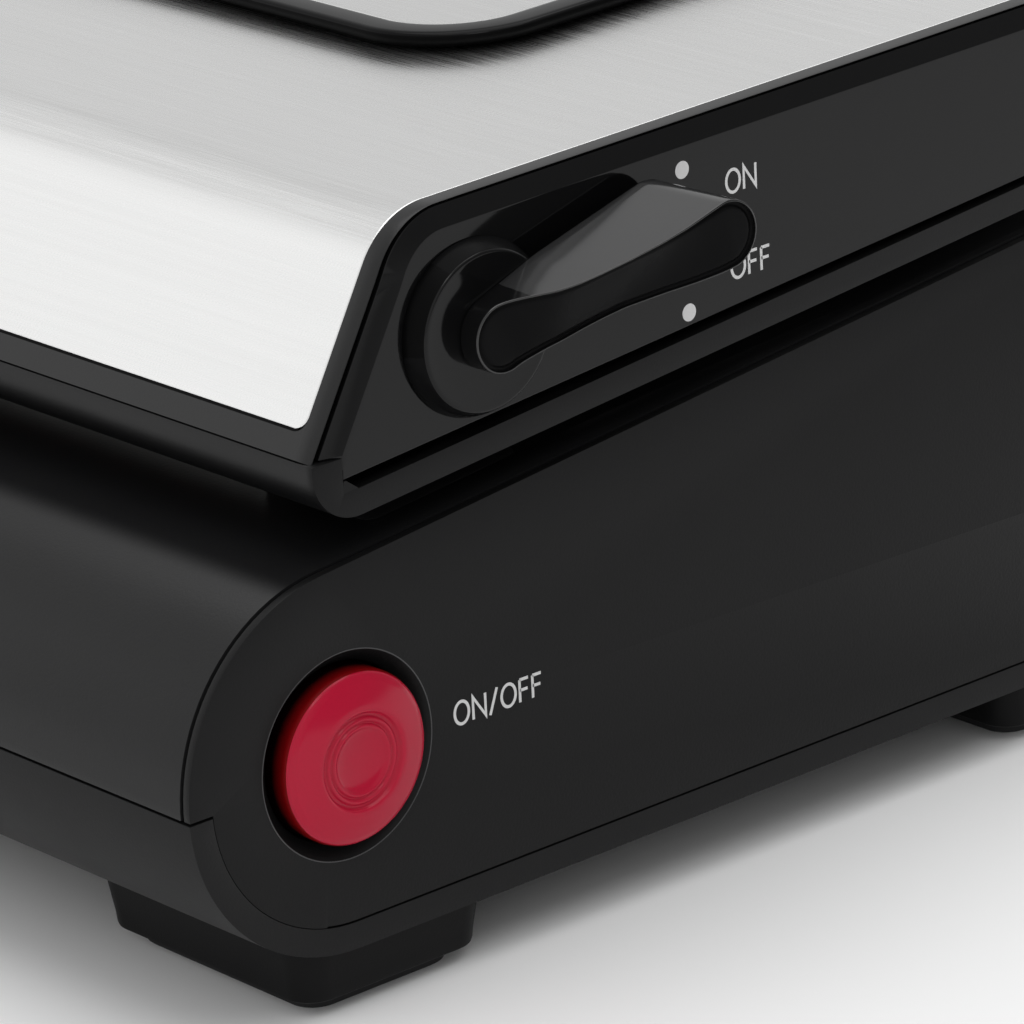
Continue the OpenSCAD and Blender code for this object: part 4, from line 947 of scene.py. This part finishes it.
def text_mesh(name, txt, h, w, place, mat, body, gap=0.24, thick=0.03):
    """place(u, v, k) maps text plane coordinates and height over the surface to millimetres."""
    verts, faces, x = [], [], 0.0
    for ch in txt:
        strokes, ww = glyph(ch, h)
        for pts, closed in strokes:
            v2, f2 = stroke([(x + p[0], p[1]) for p in pts], w, closed)
            o = len(verts); n = len(v2)
            verts += [place(p[0], p[1], thick) for p in v2] + [place(p[0], p[1], 0.0) for p in v2]
            faces += [tuple(i + o for i in q) for q in f2]
            faces += [tuple(i + o + n for i in reversed(q)) for q in f2]
            m = n // 2
            rng = range(m if closed else m - 1)
            for i in rng:
                j = (i + 1) % m
                faces.append((o + i, o + j, o + n + j, o + n + i)); faces.append((o + m + j, o + m + i, o + n + m + i, o + n + m + j))
            if not closed:
                faces.append((o, o + m, o + n + m, o + n)); faces.append((o + m - 1, o + 2 * m - 1, o + n + 2 * m - 1, o + n + m - 1))
        x += ww + gap * h
    return make(name, verts, faces, mat, body, (), angle=30, merge=False), x


def end_place(y0, z0, slope, plane):
    c, s = math.cos(rad(slope)), math.sin(rad(slope))
    return lambda u, v, k: (plane + k, y0 + u * c - v * s, z0 + u * s + v * c)


text_mesh("mark_button", "ON/OFF", 3.1, 0.42, end_place(-49.0, 34.6, 0.0, XR), M["mark"], "base")
text_mesh("mark_lever_on", "ON", 3.1, 0.42, end_place(1.9, 94.2, 0.0, XR), M["mark"], "lid")
text_mesh("mark_lever_off", "OFF", 3.1, 0.42, end_place(2.3, 82.4, 0.0, XR), M["mark"], "lid")
dots = []
for (y, z) in ((-5.8, 99.3), (-5.5, 79.8)):
    v, f = lathe([(0.0, 0.0), (0.0, 1.2), (0.03, 1.2), (0.03, 0.0)], (y, z), XR, 40)
    dots.append((v, f))
v, f = join_meshes(dots)
make("mark_lever_dots", v, f, M["mark"], "lid", (), angle=40)


def key_place(kx, du, dv, zz):
    return lambda u, v, k: top_pt(kx, 12, u + du, v + dv, zz + k)


ring = [(1.5 * math.cos(t), 1.5 * math.sin(t)) for t in np.linspace(rad(120), rad(420), 22)]


def strokes_mesh(name, strokes, w, place, mat, body):
    verts, faces = [], []
    for pts, closed in strokes:
        v2, f2 = stroke(pts, w, closed); o = len(verts); n = len(v2); m = n // 2
        verts += [place(p[0], p[1], 0.03) for p in v2] + [place(p[0], p[1], -0.05) for p in v2]
        faces += [tuple(i + o for i in q) for q in f2] + [tuple(i + o + n for i in reversed(q)) for q in f2]
        for i in range(m if closed else m - 1):
            j = (i + 1) % m
            faces.append((o + i, o + j, o + n + j, o + n + i)); faces.append((o + m + j, o + m + i, o + n + m + i, o + n + m + j))
        if not closed:
            faces.append((o, o + m, o + n + m, o + n)); faces.append((o + m - 1, o + 2 * m - 1, o + n + 2 * m - 1, o + n + m - 1))
    return make(name, verts, faces, mat, body, (), angle=30, merge=False)


strokes_mesh("mark_key_power", [(ring, False), ([(0, 0.3), (0, 1.9)], False)], 0.35, key_place(keys[0], 0, 0, 0.72), M["mark"], "power_key")
g0, w0 = glyph("0", 2.6)
strokes_mesh("mark_key_zero", g0, 0.35, key_place(keys[1], -w0 / 2, -1.3, 0.72), M["mark"], "tare_key")
strokes_mesh("mark_key_step", [([(-1.2, -0.7), (0, 0.9), (1.2, -0.7)], False)], 0.35, key_place(keys[2], 0, 0, 0.72), M["mark"], "unit_key")


def seg_digit(x0, y0, h, on):
    w = h * 0.52; t = 0.0; out = []
    S = {"a": ((0, h), (w, h)), "b": ((w, h), (w, h / 2)), "c": ((w, h / 2), (w, 0)), "d": ((0, 0), (w, 0)), "e": ((0, 0), (0, h / 2)), "f": ((0, h / 2), (0, h)), "g": ((0, h / 2), (w, h / 2))}
    for k in on:
        (ax, ay), (bx, by_) = S[k]; L = math.hypot(bx - ax, by_ - ay); ux, uy = (bx - ax) / L * 0.5, (by_ - ay) / L * 0.5
        out.append(([(x0 + ax + ux, y0 + ay + uy), (x0 + bx - ux, y0 + by_ - uy)], False))
    return out


m_lcd, nt_, b_ = mat_new("display_segments")
mix_tone_and_painted_shade(nt_, b_, (0.22, 0.30, 0.33), (0.30, 0.40, 0.43), remap(nt_, noise(nt_, coords(nt_), 900, 2), 0, 1))
b_.inputs["Roughness"].default_value = 0.4
strokes_mesh("display_digits", seg_digit(6, -4.2, 8.6, "abcdef") + seg_digit(14, -4.2, 8.6, "abcdef") + seg_digit(-2, -4.2, 8.6, "abcdef"), 0.9,
             (lambda u, v, k: top_pt(WX, -22, u, v, 0.36 + k)), m_lcd, "lid")

# --------------------------------------------------------------------------
# stage, light and camera
fm, fnt, fb = mat_new("floor_pale")
fb.inputs["Base Color"].default_value = (0.93, 0.93, 0.93, 1); fb.inputs["Roughness"].default_value = 0.85
fb.inputs["Specular IOR Level"].default_value = 0.0
me = bpy.data.meshes.new("floor"); me.from_pydata([(-12, -12, 0), (12, -12, 0), (12, 12, 0), (-12, 12, 0)], [], [(0, 1, 2, 3)]); me.materials.append(fm)
floor = bpy.data.objects.new("floor", me); bpy.context.scene.collection.objects.link(floor); floor.location = (0, 0, -0.0001)
floor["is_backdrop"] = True

w = bpy.data.worlds.new("studio"); bpy.context.scene.world = w; w.use_nodes = True
wn = w.node_tree; bg = wn.nodes["Background"]
bg.inputs["Color"].default_value = (1, 1, 1, 1)
tcw = wn.nodes.new("ShaderNodeTexCoord")


def lobe(direction, lo_, hi_, amount):
    """Amount that fades in around a direction, from cosine lo_ to hi_."""
    d = Vector(direction).normalized()
    vm = wn.nodes.new("ShaderNodeVectorMath"); vm.operation = "DOT_PRODUCT"; vm.inputs[1].default_value = d
    wn.links.new(tcw.outputs["Generated"], vm.inputs[0])
    mr = wn.nodes.new("ShaderNodeMapRange"); mr.interpolation_type = "SMOOTHSTEP"
    mr.inputs["From Min"].default_value = lo_; mr.inputs["From Max"].default_value = hi_
    mr.inputs["To Min"].default_value = 0.0; mr.inputs["To Max"].default_value = amount
    wn.links.new(vm.outputs["Value"], mr.inputs["Value"])
    return mr.outputs["Result"]


def add(a_, b_):
    m = wn.nodes.new("ShaderNodeMath"); m.operation = "ADD"
    wn.links.new(a_, m.inputs[0]); wn.links.new(b_, m.inputs[1]); return m.outputs[0]


tot = add(lobe((-0.714, 0.59, 0.375), 0.75, 1.0, -0.14), lobe((0.76, 0.65, 0.05), 0.5, 0.92, -0.55))
tot = add(tot, lobe((-0.714, 0.0, 0.7), 0.82, 1.0, -0.05))
m_ = wn.nodes.new("ShaderNodeMath"); m_.operation = "ADD"; m_.inputs[1].default_value = 0.84; m_.use_clamp = False
wn.links.new(tot, m_.inputs[0]); wn.links.new(m_.outputs[0], bg.inputs["Strength"])


def area(name, loc, target, size, power, size_y=None):
    l = bpy.data.lights.new(name, "AREA"); l.energy = power; l.shape = "RECTANGLE"; l.size = size; l.size_y = size_y or size
    o = bpy.data.objects.new(name, l); bpy.context.scene.collection.objects.link(o)
    o.location = loc; d = Vector(target) - Vector(loc)
    o.rotation_mode = "QUATERNION"; o.rotation_quaternion = d.to_track_quat("-Z", "Y")
    o.visible_camera = False
    return o


area("key_front_left", (-1.75, -1.55, 1.0), (0.1, 0, 0.06), 1.8, 1.9, 1.4)
area("overhead", (0.2, 0.3, 2.2), (0.1, 0, 0), 2.2, 21)
area("upper_right", (1.15, -0.35, 1.35), (0.19, -0.04, 0.08), 0.45, 1.6)

cam = bpy.data.cameras.new("photo_camera"); co = bpy.data.objects.new("photo_camera", cam)
bpy.context.scene.collection.objects.link(co)
A, E, R = rad(49.416), rad(19.775), rad(2.805)
r0 = Vector((math.cos(A), math.sin(A), 0)); b0 = Vector((math.sin(A) * math.cos(E), -math.cos(A) * math.cos(E), math.sin(E)))
u0 = b0.cross(r0)
rr = math.cos(R) * r0 - math.sin(R) * u0; uu = math.sin(R) * r0 + math.cos(R) * u0
co.matrix_world = Matrix(((rr.x, uu.x, b0.x, (XR + 589.767) * MM), (rr.y, uu.y, b0.y, (-67 - 475.813) * MM), (rr.z, uu.z, b0.z, (36 + 304.048) * MM), (0, 0, 0, 1)))
cam.lens = 36 * 6420.3 / 1024; cam.sensor_width = 36; cam.clip_start = 0.01; cam.clip_end = 100
bpy.context.scene.camera = co
bpy.context.scene.view_settings.view_transform = "Standard"
bpy.context.scene.view_settings.look = "None"

# the start button's spring: the imported coil copied into a mesh of its own on the base body
src = NODES["button_spring"]
pts = [src.matrix_world @ v.co for v in src.data.vertices]
coil = make("button_spring_coil", [(p.x * 1000, p.y * 1000, p.z * 1000) for p in pts], [tuple(q.vertices) for q in src.data.polygons],
            M["spring"], "base", ("button_spring",), angle=60)
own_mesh(coil)

lo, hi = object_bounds()
